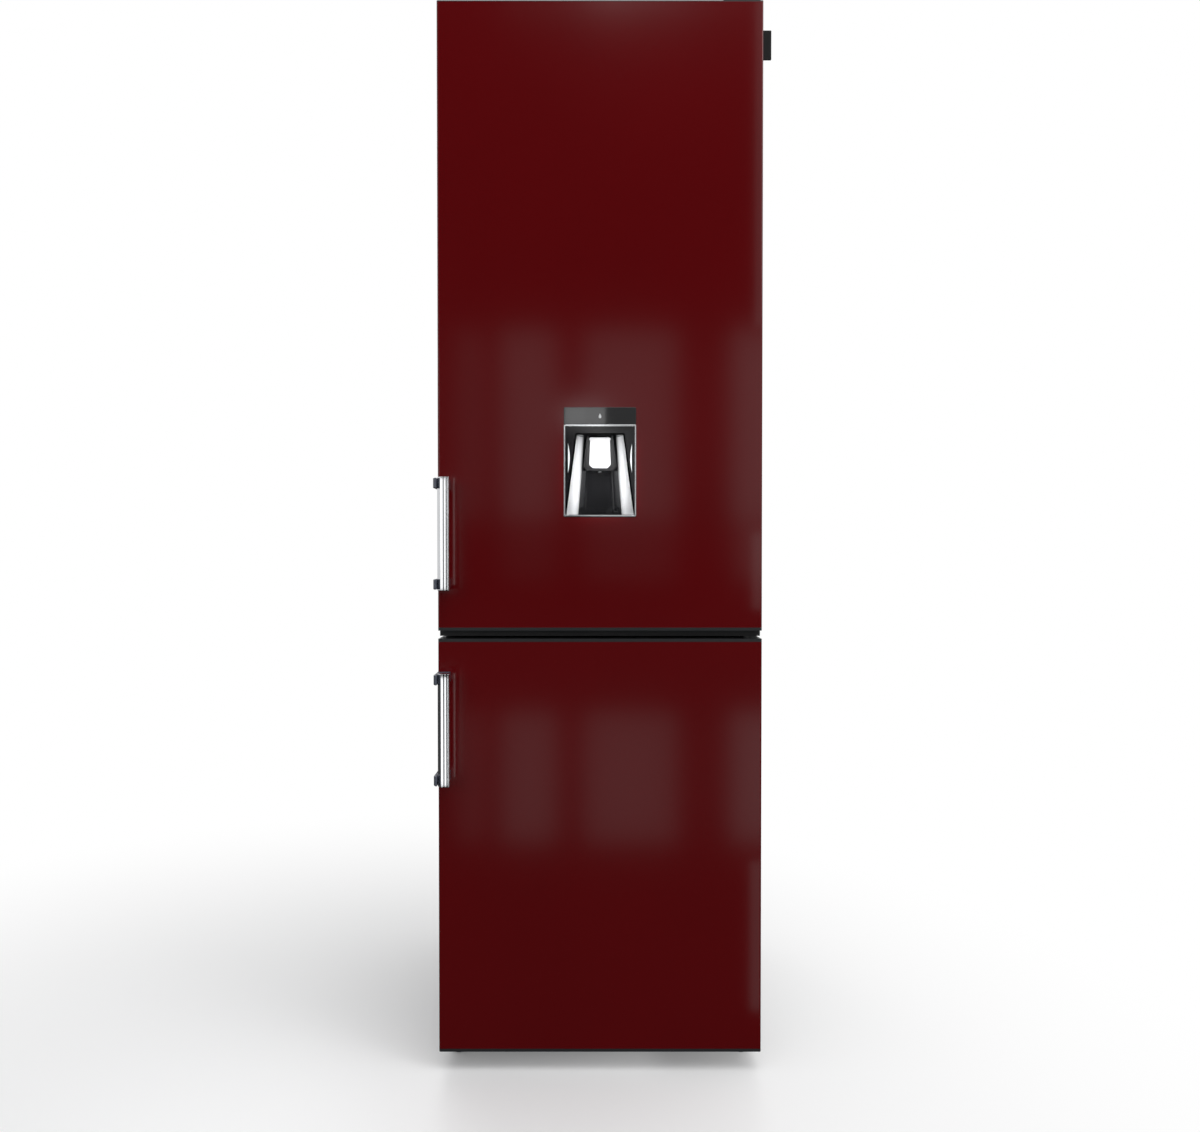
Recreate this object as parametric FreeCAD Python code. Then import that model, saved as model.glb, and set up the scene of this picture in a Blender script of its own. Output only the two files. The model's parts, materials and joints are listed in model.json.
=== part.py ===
import FreeCAD, Part
import math
import os

# A two-door fridge freezer with a water dispenser in its upper door.
# Millimetres. The front is -Y, up is +Z, and the feet and rear wheels stand on z = 0.

os.makedirs("parts", exist_ok=True)
V = FreeCAD.Vector

# Doors
door_width = 550.0
door_thickness = 55.0
door_edge_radius = 3.0
door_gap = 3.3
lower_door_bottom = 33.5
lower_door_top = 740.0
upper_door_top = 1814.0
skin_gauge = 1.0
skin_return = 14.0
side_lip = 5.2
top_lip = 2.0
channel_height = 10.7
channel_setback = 20.0
cap_reach = 14.0
fit = 0.1
liner_gauge = 2.0
gasket_inset = 19.0
gasket_width = 18.0
gasket_rest_gap = 0.4
gasket_neck_share = 0.45
upper_plug_side_gap = 20.0
upper_plug_reach = 20.0
upper_plug_floor_gap = 19.55
upper_plug_head_gap = 13.0
lower_plug_side_gap = 17.0
lower_plug_reach = 18.0
lower_plug_floor_gap = 15.5
lower_plug_head_gap = 15.65
overrun = 1.0
edge_along_share = 0.5

# Cabinet
cabinet_inset = 2.0
cabinet_depth = 480.0
cabinet_bottom = 38.0
cabinet_head = 1.0
seal_gap = 10.0
case_gauge = 1.0
case_return = 14.0
cavity_radius = 12.0
fridge_side_wall = 48.0
fridge_back_wall = 50.0
fridge_top_wall = 50.0
freezer_side_wall = 58.0
freezer_back_wall = 60.0
freezer_floor = 100.0
crossbar_half = 30.0
flange_land = 12.0
crossbar_gauge = 1.5
crossbar_lip = 15.0
step_wall = 52.0
machine_side_wall = 22.0
base_gauge = 2.0

# Hinges and their screws
hinge_axis_inset = 17.0
hinge_axis_setback = 28.0
hinge_gauge = 2.5
hinge_eye_radius = 13.0
hinge_leg_width = 57.0
hinge_leg_half = 8.5
hinge_leg_clearance = 1.0
bottom_hinge_drop = 1.0
bottom_hinge_rise = 42.0
top_hinge_length = 98.0
pin_radius = 4.0
pin_reach = 12.0
running_clearance = 0.05
screw_radius = 2.4
screw_head_radius = 4.6
screw_head_height = 1.8
screw_length = 12.0
screw_clearance = 0.1
screw_pitch = 15.0
screw_margin = 9.0
cover_gauge = 2.0
cover_height = 16.0
cover_margin = 6.0
cover_radius = 6.0

# Handles
handle_reach = 46.0
handle_finger_gap = 34.0
bar_length = 187.0
bar_left_inset = 6.4
bar_width = 20.0
bar_bevel = 6.0
groove_width = 1.6
groove_depth = 1.2
groove_shares = (0.53, 0.78)
bar_bevel_share = 0.55
upper_bar_rise = 80.7
lower_bar_drop = 54.0
bracket_height = 17.0
bracket_depth = 21.0
bracket_end_inset = 1.5
bracket_side_gap = 0.3

# Plain tab on the hinge side of the upper door
tab_drop = 88.0
tab_height = 50.0
tab_reach = 17.0
tab_gauge = 2.0
tab_setback = 21.0

# Water dispenser
dispenser_width = 122.0
dispenser_rise = 203.5
dispenser_height = 185.2
head_height = 29.1
trim_line = 3.3
trim_side = 2.0
bezel_proud = 1.5
niche_wall = 3.0
niche_face = 3.0
cone_top_radius = 39.0
cone_bottom_radius = 57.0
cone_head = 14.0
housing_setback = 14.0
housing_top_half = 22.0
housing_bottom_half = 29.0
housing_height = 59.6
pocket_side_gap = 1.5
pocket_depth = 16.0
pocket_floor = 4.0
lever_top_half = 17.0
lever_bottom_half = 18.5
lever_gauge = 3.0
lever_end_gap = 0.6
lever_setback = 1.0
lever_chamfer = 6.0
lever_pin_radius = 1.5
lever_pin_drop = 5.0
lever_pin_reach = 2.6
spout_radius = 3.0
spout_bore_share = 0.45
spout_setback = 35.0
valve_radius = 8.0
valve_height = 34.0
feed_radius = 5.0
feed_rise = 8.0

# Water tank and door bins
pilaster_width = 22.0
pilaster_reach = 50.0
pilaster_rise = 30.0
bin_side_gap = 3.0
bin_reach = 84.0
bin_wall = 2.5
bin_radius = 10.0
lower_bin_rise = 28.35
lower_bin_height = 80.0
bin_height = 70.0
lid_headroom = 68.0
bin_headroom = 140.0
bin_front_share = 0.8
lug_width = 12.0
lug_height = 8.0
lug_reach = 34.0
tank_rise = 16.4
tank_height = 146.0
tank_reach = 78.0
hatch_width = 120.0
hatch_depth = 42.0
hatch_setback = 16.0
lid_overlap = 4.0
lid_gauge = 2.5
lid_gap = 0.3
lid_pin_radius = 1.5
lid_knuckle_radius = 3.6
lid_knuckle_width = 14.0

# Fridge inside
shelf_shares = (0.0, 0.2537, 0.49, 0.7264)
glass_gauge = 4.0
bin_shelf_gap = 8.0
shelf_back_gap = 4.0
shelf_side_gap = 2.0
rib_width = 9.0
rib_height = 6.0
rib_lead = 10.0
trim_height = 12.0
trim_depth = 6.0
crisper_setback = 2.0
crisper_back_gap = 4.0
crisper_side_gap = 13.0
crisper_height = 180.0
crisper_headroom = 8.95
drawer_wall = 2.5
drawer_front_wall = 5.0
drawer_run_gap = 0.4
drawer_radius = 8.0
grip_width = 130.0
grip_height = 18.0
grip_drop = 26.0
grip_depth = 2.5
duct_half_width = 50.0
duct_depth = 14.0
duct_rise = 29.0
duct_top_gap = 34.0
duct_wall = 2.0
slot_width = 60.0
slot_height = 5.0
slot_drop = 30.0
control_half_width = 110.0
control_plug_gap = 20.0
control_length = 200.0
control_height = 35.0
control_wall = 2.5
control_radius = 8.0
knob_radius = 14.0
knob_depth = 10.0
knob_rib = 3.0
knob_shaft_radius = 4.0
knob_shaft_reach = 9.0
knob_stand_off = 0.5
lens_side_gap = 50.0
lens_setback = 50.0
lens_length = 110.0
lens_depth = 6.0
switch_inset = 25.0
switch_half = 5.0
switch_entry = 4.0
switch_clearance = 0.3
switch_plug_gap = 0.4

# Freezer inside
divider_rise = 6.0
middle_divider_share = 0.493
divider_setback = 14.0
divider_back_gap = 4.0
drawer_plug_gap = 28.0
freezer_drawer_back_gap = 10.0
bottom_drawer_back_gap = 12.0
freezer_drawer_side_gap = 15.0
freezer_drawer_head_gap = 12.0
evaporator_room = 72.0
air_cover_gauge = 3.0
air_cover_side_gap = 1.0
fan_drop = 79.65
fan_grille_radius = 46.0
fan_blade_radius = 42.0
fan_blade_gauge = 1.6
fan_blade_width = 22.0
fan_blade_pitch_deg = 32.0
fan_blade_count = 5
fan_hub_radius = 12.0
fan_hub_length = 14.0
fan_hub_setback = 8.0
fan_shaft_radius = 2.0
fan_motor_radius = 24.0
fan_motor_gap = 2.0
grille_bar = 4.0
grille_count = 6
evaporator_rows = 8
evaporator_head_gap = 88.0
evaporator_rise = 32.0
evaporator_side_gap = 65.0
evaporator_bend_share = 0.45
evaporator_tube_radius = 4.0
evaporator_setback = 25.0
fin_count = 20
fin_gauge = 0.8
fin_depth = 36.0
fin_margin = 12.0
fin_clearance = 0.2

# Machine compartment and back
compressor_side_gap = 112.0
compressor_gap = 17.0
compressor_head_gap = 27.0
compressor_radius = 78.0
compressor_height = 155.0
compressor_crown = 40.0
compressor_foot_half = 70.0
compressor_foot_gauge = 4.0
compressor_foot_corner = 8.0
grommet_radius = 10.0
grommet_height = 14.0
stub_radius = 5.0
stub_reach = 12.0
stub_offset = 15.0
relay_width = 34.0
relay_depth = 44.0
relay_height = 50.0
relay_rise = 60.0
pan_side_gap = 20.0
pan_relay_gap = 18.0
pan_radius = 8.0
pan_height = 34.0
pan_wall = 2.0
pan_margin = 12.0
drain_radius = 8.0
drain_bore = 6.0
drain_pan_gap = 6.0
pipe_radius = 3.0
pipe_way = 0.3
pipe_bend = 12.0
suction_side_gap = 60.0
suction_share = 0.5935
discharge_share = 0.3355
drier_radius = 9.0
drier_length = 60.0
drier_side_gap = 38.0
drier_head_gap = 12.0
drier_behind_cavity = 20.0
liquid_drop = 28.0
condenser_reach = 30.0
condenser_rows = 24
condenser_head_gap = 171.0
condenser_rise = 70.0
condenser_side_gap = 28.0
condenser_down_offset = 15.0
condenser_tail = 30.0
wire_count = 26
wire_radius = 0.8
wire_gap = 0.1
wire_overhang = 8.0
standoff_width = 14.0
standoff_height = 20.0
standoff_inset = 60.0
gland_side_gap = 50.0
gland_rise = 32.0
gland_radius = 7.0
gland_flange_radius = 11.0
gland_flange = 3.0
gland_reach = 12.0
gland_wall = 2.0

# Feet and rear wheels
foot_inset = 23.0
foot_setback = 8.0
foot_radius = 16.5
foot_height = 9.0
foot_stem_radius = 4.0
foot_stem_rise = 18.0
foot_nut_radius = 8.0
foot_nut_height = 6.0
boss_radius = 7.5
boss_drop = 8.0
wheel_radius = 16.0
wheel_width = 18.0
wheel_inset = 68.0
wheel_setback = 34.0
axle_radius = 3.0
wheel_bracket_gauge = 3.0
wheel_bracket_half = 9.0
wheel_bracket_gap = 0.5

# Places worked out from the sizes above
door_half = door_width / 2
overall_depth = handle_reach + door_thickness + seal_gap + cabinet_depth + condenser_reach
door_front = handle_reach - overall_depth / 2
door_back = door_front + door_thickness
case_front = door_back + seal_gap
case_back = case_front + cabinet_depth
gap_middle = lower_door_top + door_gap / 2
upper_door_bottom = lower_door_top + door_gap
cabinet_half = door_half - cabinet_inset
cabinet_top = upper_door_top + cabinet_head
fridge_half = cabinet_half - fridge_side_wall
freezer_half = cabinet_half - freezer_side_wall
fridge_floor = gap_middle + crossbar_half
freezer_ceiling = gap_middle - crossbar_half
fridge_ceiling = cabinet_top - fridge_top_wall
fridge_back = case_front + cabinet_depth - fridge_back_wall
freezer_back = case_front + cabinet_depth - freezer_back_wall
opening_half = cabinet_half - case_return
axis_x = door_half - hinge_axis_inset
axis_y = door_front + hinge_axis_setback
foam_top = cabinet_top - case_gauge
machine_half = cabinet_half - case_gauge - machine_side_wall
upper_plug_face = door_back + seal_gap + upper_plug_reach
lower_plug_face = door_back + seal_gap + lower_plug_reach
plug_half = fridge_half - upper_plug_side_gap
bin_half = plug_half - pilaster_width - bin_side_gap
skin_low = upper_door_bottom + channel_height + side_lip
lower_skin_low = lower_door_bottom + side_lip
lower_skin_high = lower_door_top - side_lip
upper_skin_high = upper_door_top - top_lip
machine_depth = cabinet_depth - 2 * (compressor_radius + compressor_gap)
machine_floor = cabinet_bottom + base_gauge
compressor_foot_low = machine_floor + grommet_height
compressor_low = compressor_foot_low + compressor_foot_gauge
compressor_high = compressor_low + compressor_height
machine_height = compressor_high + compressor_head_gap
step_depth = machine_depth - step_wall
step_height = machine_height + step_wall
upper_bar_bottom = upper_door_bottom + upper_bar_rise
lower_bar_bottom = lower_door_top - lower_bar_drop - bar_length
tab_bottom = upper_door_top - tab_drop
condenser_y = case_back + condenser_reach - 2 * wire_radius - wire_gap - pipe_radius
dispenser_bottom = upper_door_bottom + dispenser_rise
dispenser_top = dispenser_bottom + dispenser_height
niche_top = dispenser_top - head_height - trim_line
niche_bottom = dispenser_bottom + niche_wall
niche_half = dispenser_width / 2 - trim_side
lever_axis_y = door_front + housing_setback + lever_setback + lever_gauge / 2
lever_axis_z = niche_top - cone_head - lever_pin_drop
lever_top = lever_axis_z + lever_pin_radius + lever_gauge / 2
lever_bottom = niche_top - cone_head - housing_height + pocket_floor + lever_end_gap
tank_bottom = niche_top + tank_rise
tank_top = tank_bottom + tank_height
middle_bin_level = tank_top + lid_headroom
upper_bin_level = middle_bin_level + bin_height + bin_headroom
bin_levels = (fridge_floor + lower_bin_rise, middle_bin_level, upper_bin_level)
bin_heights = (lower_bin_height, bin_height, bin_height)
pilaster_top = upper_bin_level + bin_height + pilaster_rise
first_shelf = fridge_floor + drawer_run_gap + crisper_height + crisper_headroom
shelf_levels = [first_shelf + (fridge_ceiling - first_shelf) * share for share in shelf_shares]
shelf_front = upper_plug_reach + bin_reach + bin_shelf_gap + trim_depth
shelf_back = cabinet_depth - fridge_back_wall - duct_depth - shelf_back_gap
crisper_front = shelf_front + crisper_setback
crisper_back = shelf_back - crisper_back_gap
duct_bottom = first_shelf + duct_rise
control_front = upper_plug_reach + control_plug_gap
control_back = control_front + control_length
knob_x = control_half_width / 2
lens_half_width = control_half_width - lens_side_gap
lens_front = control_front + lens_setback
lens_back = lens_front + lens_length
switch_x = switch_inset - control_half_width
switch_length = control_plug_gap + switch_entry
first_divider = step_height + divider_rise
divider_levels = (first_divider, first_divider + (freezer_ceiling - first_divider) * middle_divider_share)
air_cover_depth = cabinet_depth - freezer_back_wall - evaporator_room
freezer_drawer_front = lower_plug_reach + drawer_plug_gap
freezer_drawer_back = air_cover_depth - freezer_drawer_back_gap
bottom_drawer_back = step_depth - bottom_drawer_back_gap
divider_front = freezer_drawer_front + divider_setback
divider_back = air_cover_depth - divider_back_gap
fan_height = freezer_ceiling - fan_drop
evaporator_bottom = step_height + evaporator_rise
evaporator_top = fan_height - fan_motor_radius - evaporator_head_gap
evaporator_pitch = (evaporator_top - evaporator_bottom) / (evaporator_rows - 1)
evaporator_half_width = freezer_half - evaporator_side_gap
evaporator_y = freezer_back - evaporator_setback
evaporator_end_x = evaporator_half_width + evaporator_pitch / 2
compressor_x = machine_half - compressor_radius - compressor_side_gap
compressor_depth = (machine_depth + cabinet_depth) / 2
stub_end_x = compressor_x + compressor_radius + stub_reach
pan_left = pan_side_gap - machine_half
pan_right = compressor_x - compressor_radius - relay_width - pan_relay_gap
pan_x = (pan_left + pan_right) / 2
suction_x = machine_half - suction_side_gap
suction_y = case_front + compressor_depth - stub_offset
suction_height = compressor_low + compressor_height * suction_share
discharge_y = case_front + compressor_depth + stub_offset
discharge_height = compressor_low + compressor_height * discharge_share
drier_x = machine_half - drier_side_gap
drier_y = freezer_back + drier_behind_cavity
drier_height = machine_height - drier_head_gap - drier_length
liquid_height = drier_height - liquid_drop
condenser_bottom = machine_height + condenser_rise
condenser_tail_z = condenser_bottom - condenser_tail
condenser_pitch = (cabinet_top - condenser_head_gap - condenser_bottom) / (condenser_rows - 1)
condenser_half_width = machine_half - condenser_side_gap
gland_x = gland_side_gap - machine_half
gland_height = machine_height + gland_rise
foot_x = cabinet_half - foot_inset
foot_y = case_front + foot_setback
foot_stem_top = cabinet_bottom + foot_stem_rise
wheel_x = cabinet_half - wheel_inset
wheel_y = case_back - wheel_setback


def depth(distance):
    """A place that many millimetres behind the cabinet's front."""
    return case_front + distance


def block(x_span, y_span, z_span):
    """A box between three (low, high) pairs."""
    size = [pair[1] - pair[0] for pair in (x_span, y_span, z_span)]
    return Part.makeBox(size[0], size[1], size[2], V(x_span[0], y_span[0], z_span[0]))


def both_sides(half):
    """A (low, high) pair centred on the object's middle plane."""
    return (-half, half)


def rod(radius, start, end):
    """A cylinder from one point to another."""
    way = end.sub(start)
    return Part.makeCylinder(radius, way.Length, start, way)


def prism(points, way):
    """A flat outline carried along a vector."""
    face = Part.Face(Part.makePolygon(list(points) + [points[0]]))
    return face.extrude(way)


def edges_along(solid, way):
    """The straight edges of a box that run along a unit vector."""
    found = []
    for edge in solid.Edges:
        tangent = edge.tangentAt(edge.FirstParameter)
        if abs(tangent.dot(way)) > edge_along_share:
            found.append(edge)
    return found


def rounded_up(x_span, y_span, z_span, radius):
    """A box with its four upright edges rounded."""
    solid = block(x_span, y_span, z_span)
    return solid.makeFillet(radius, edges_along(solid, V(0, 0, 1)))


def rounded_deep(x_span, y_span, z_span, radius):
    """A box with its four front-to-back edges rounded."""
    solid = block(x_span, y_span, z_span)
    return solid.makeFillet(radius, edges_along(solid, V(0, 1, 0)))


def rounded_front(x_span, y_span, z_span, radius):
    """A box with its two upright front edges rounded."""
    solid = block(x_span, y_span, z_span)
    upright = edges_along(solid, V(0, 0, 1))
    return solid.makeFillet(radius, [edge for edge in upright if edge.CenterOfMass.y < y_span[0] + radius])


def bent_tube(radius, corners, bend):
    """A round bar along straight runs, with an arc of the given radius at each corner."""
    edges = []
    here = corners[0]
    for before, corner, after in zip(corners, corners[1:], corners[2:]):
        back = before.sub(corner).normalize()
        ahead = after.sub(corner).normalize()
        half_turn = (math.pi - back.getAngle(ahead)) / 2
        setback = bend * math.tan(half_turn)
        start = corner.add(back * setback)
        end = corner.add(ahead * setback)
        inward = back.add(ahead).normalize()
        middle = corner.add(inward * (bend / math.cos(half_turn) - bend))
        edges.append(Part.LineSegment(here, start).toShape())
        edges.append(Part.Arc(start, middle, end).toShape())
        here = end
    edges.append(Part.LineSegment(here, corners[-1]).toShape())
    path = Part.Wire(edges)
    ring = Part.Wire(Part.Circle(corners[0], corners[1].sub(corners[0]), radius).toShape())
    return path.makePipeShell([ring], True, False)


def joined(shapes):
    """One solid made of several."""
    first, *rest = shapes
    return first.fuse(rest).removeSplitter() if rest else first


def save(name, solids):
    """Write one named piece, or one group of separate like pieces."""
    group = []
    for solid in solids:
        group.extend(solid.Solids)
    shape = group[0] if len(group) == 1 else Part.makeCompound(group)
    if not shape.isValid():
        print("not valid:", name)
    print(name, len(group), round(sum(solid.Volume for solid in group)))
    shape.exportStep("parts/" + name + ".step")


# Screws

def screw(head_seat, way):
    """A pan-head screw whose head sits on head_seat and whose shank runs along way."""
    shank = rod(screw_radius, head_seat, head_seat.add(way * screw_length))
    head = rod(screw_head_radius, head_seat.sub(way * screw_head_height), head_seat)
    return joined([head, shank])


def screw_hole(head_seat, way):
    """The clear hole round that screw's shank."""
    start = head_seat.sub(way * overrun)
    end = head_seat.add(way * (screw_length + overrun))
    return rod(screw_radius + screw_clearance, start, end)


leg_left = axis_x + hinge_axis_inset - cabinet_inset - hinge_leg_width
leg_front = case_front - hinge_gauge
bottom_plate_top = lower_door_bottom - bottom_hinge_drop
bottom_leg_top = bottom_plate_top + bottom_hinge_rise
inward_way = V(0, 1, 0)
down_way = V(0, 0, -1)
front_screws = []
for column in (0, 1):
    screw_column_x = leg_left + screw_margin + column * screw_pitch
    front_screws.append(V(screw_column_x, leg_front, gap_middle))
    front_screws.append(V(screw_column_x, leg_front, bottom_leg_top - screw_margin))
top_plate_z = cabinet_top + hinge_gauge
top_screws = [
    V(axis_x - screw_margin, depth(screw_margin), top_plate_z),
    V(axis_x - screw_margin, depth(screw_margin + screw_pitch), top_plate_z),
    V(leg_left + screw_margin, depth(screw_margin), top_plate_z),
]
front_screw_holes = [screw_hole(place, inward_way) for place in front_screws]
top_screw_holes = [screw_hole(place, down_way) for place in top_screws]
screw_holes = front_screw_holes + top_screw_holes


def make_screws():
    """All the screws that hold the three hinges."""
    screws = [screw(place, inward_way) for place in front_screws]
    screws += [screw(place, down_way) for place in top_screws]
    save("hinge_screws", screws)


# Hinges

def hinge_eye(z_span):
    """The flat round end of a hinge arm, round the door's axis."""
    return rod(hinge_eye_radius, V(axis_x, axis_y, z_span[0]), V(axis_x, axis_y, z_span[1]))


def hinge_arm(z_span, back):
    """The flat arm that reaches forward from the cabinet to the door's axis."""
    return block((axis_x - hinge_eye_radius, axis_x + hinge_eye_radius), (axis_y, back), z_span)


def hinge_pin(low, high):
    """The round pin on the door's axis."""
    return rod(pin_radius, V(axis_x, axis_y, low), V(axis_x, axis_y, high))


def make_hinges():
    """The top, middle and bottom hinges, each a plate with its pins."""
    leg_span = (leg_left, leg_left + hinge_leg_width)
    top_span = (cabinet_top, cabinet_top + hinge_gauge)
    base_y = (depth(fit), depth(top_hinge_length - door_thickness))
    top_base = block((leg_left, axis_x + hinge_eye_radius), base_y, top_span)
    top_pin = hinge_pin(upper_door_top - pin_reach, top_span[1])
    top = joined([hinge_eye(top_span), hinge_arm(top_span, depth(screw_margin)), top_base, top_pin])
    save("top_hinge", [top.cut(top_screw_holes)])

    middle_span = (gap_middle - hinge_gauge / 2, gap_middle + hinge_gauge / 2)
    leg_z = (gap_middle - hinge_leg_half, gap_middle + hinge_leg_half)
    middle_leg = block(leg_span, (leg_front, case_front), leg_z)
    middle_pin = hinge_pin(lower_door_top - pin_reach, upper_door_bottom + pin_reach)
    middle = joined([hinge_eye(middle_span), hinge_arm(middle_span, case_front), middle_leg, middle_pin])
    save("middle_hinge", [middle.cut(front_screw_holes)])

    bottom_span = (bottom_plate_top - hinge_gauge, bottom_plate_top)
    bottom_leg = block(leg_span, (leg_front, case_front), (bottom_span[0], bottom_leg_top))
    bottom_pin = hinge_pin(bottom_span[0], lower_door_bottom + pin_reach)
    bottom = joined([hinge_eye(bottom_span), hinge_arm(bottom_span, case_front), bottom_leg, bottom_pin])
    save("bottom_hinge", [bottom.cut(front_screw_holes)])


def make_hinge_cover():
    """The plastic cover over the top hinge, open underneath."""
    x_span = (leg_left - cover_margin, axis_x + hinge_eye_radius + cover_gauge + fit)
    cover_back = depth(top_hinge_length - door_thickness + cover_margin)
    y_span = (axis_y - hinge_eye_radius - cover_gauge, cover_back)
    outer = rounded_up(x_span, y_span, (cabinet_top, cabinet_top + cover_height), cover_radius)
    inner = block(
        (x_span[0] + cover_gauge, x_span[1] - cover_gauge),
        (y_span[0] + cover_gauge - fit, y_span[1] - cover_gauge),
        (cabinet_top - overrun, cabinet_top + cover_height - cover_gauge),
    )
    save("hinge_cover", [outer.cut(inner)])


# Cabinet

def fridge_cavity(grow):
    """The fridge's inside, or the outside of its liner where grow is the liner's gauge."""
    return rounded_deep(
        both_sides(fridge_half + grow),
        (case_front - overrun, fridge_back + grow),
        (fridge_floor - grow, fridge_ceiling + grow),
        cavity_radius + grow,
    )


def freezer_cavity(grow):
    """The freezer's inside, with the step over the machine compartment."""
    upper = rounded_deep(
        both_sides(freezer_half + grow),
        (case_front - overrun, freezer_back + grow),
        (step_height - grow, freezer_ceiling + grow),
        cavity_radius + grow,
    )
    lower = rounded_deep(
        both_sides(freezer_half + grow),
        (case_front - overrun, depth(step_depth) + grow),
        (freezer_floor - grow, step_height + 2 * cavity_radius),
        cavity_radius + grow,
    )
    return joined([upper, lower])


def side_ribs(half, level, y_span):
    """The two moulded ribs that carry a shelf, one on each side wall."""
    ribs = []
    for side in (-1, 1):
        x_span = sorted((side * (half - rib_width), side * (half + liner_gauge)))
        ribs.append(block(x_span, y_span, (level - rib_height, level)))
    return ribs


def shelf_ribs():
    """The ribs under every shelf of the fridge."""
    ribs = []
    for level in shelf_levels:
        ribs += side_ribs(fridge_half, level, (depth(shelf_front - rib_lead), depth(shelf_back)))
    return ribs


def liner(cavity, z_span, ribs):
    """A moulded inner box with its front flange and its shelf ribs."""
    flange = block(both_sides(opening_half), (case_front, depth(liner_gauge)), z_span)
    in_front = block(both_sides(door_half), (case_front - 2 * overrun, case_front), (0, cabinet_top))
    outside = cavity(liner_gauge)
    shell = joined([outside, flange]).cut([cavity(0), in_front])
    return joined([shell] + [rib.common(outside) for rib in ribs])


def drain_way(radius):
    """The straight way of the drain from the freezer's step down to its pan."""
    low = V(pan_x, evaporator_y, machine_floor + drain_pan_gap)
    return rod(radius, low, V(pan_x, evaporator_y, step_height))


capillary_bend = pipe_bend / 2
capillary_x = suction_x - capillary_bend
liquid_x = condenser_half_width + condenser_down_offset
suction_route = [
    V(stub_end_x, suction_y, suction_height),
    V(suction_x, suction_y, suction_height),
    V(suction_x, evaporator_y, suction_height),
    V(suction_x, evaporator_y, evaporator_bottom),
    V(evaporator_end_x, evaporator_y, evaporator_bottom),
]
capillary_route = [
    V(drier_x, drier_y, drier_height + drier_length),
    V(drier_x, drier_y, evaporator_top),
    V(capillary_x, drier_y, evaporator_top),
    V(capillary_x, evaporator_y, evaporator_top),
    V(evaporator_end_x, evaporator_y, evaporator_top),
]
discharge_route = [
    V(stub_end_x, discharge_y, discharge_height),
    V(condenser_half_width, discharge_y, discharge_height),
    V(condenser_half_width, condenser_y, discharge_height),
    V(condenser_half_width, condenser_y, condenser_tail_z),
]
liquid_route = [
    V(liquid_x, condenser_y, condenser_tail_z),
    V(liquid_x, condenser_y, liquid_height),
    V(liquid_x, drier_y, liquid_height),
    V(drier_x, drier_y, liquid_height),
    V(drier_x, drier_y, drier_height),
]


def pipe_ways():
    """The clear ways through the foam, the back panel and the liner for the drain and the pipes."""
    return [
        bent_tube(pipe_radius + pipe_way, suction_route, pipe_bend),
        bent_tube(pipe_radius + pipe_way, capillary_route, capillary_bend),
        drain_way(drain_radius + pipe_way),
    ]


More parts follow.
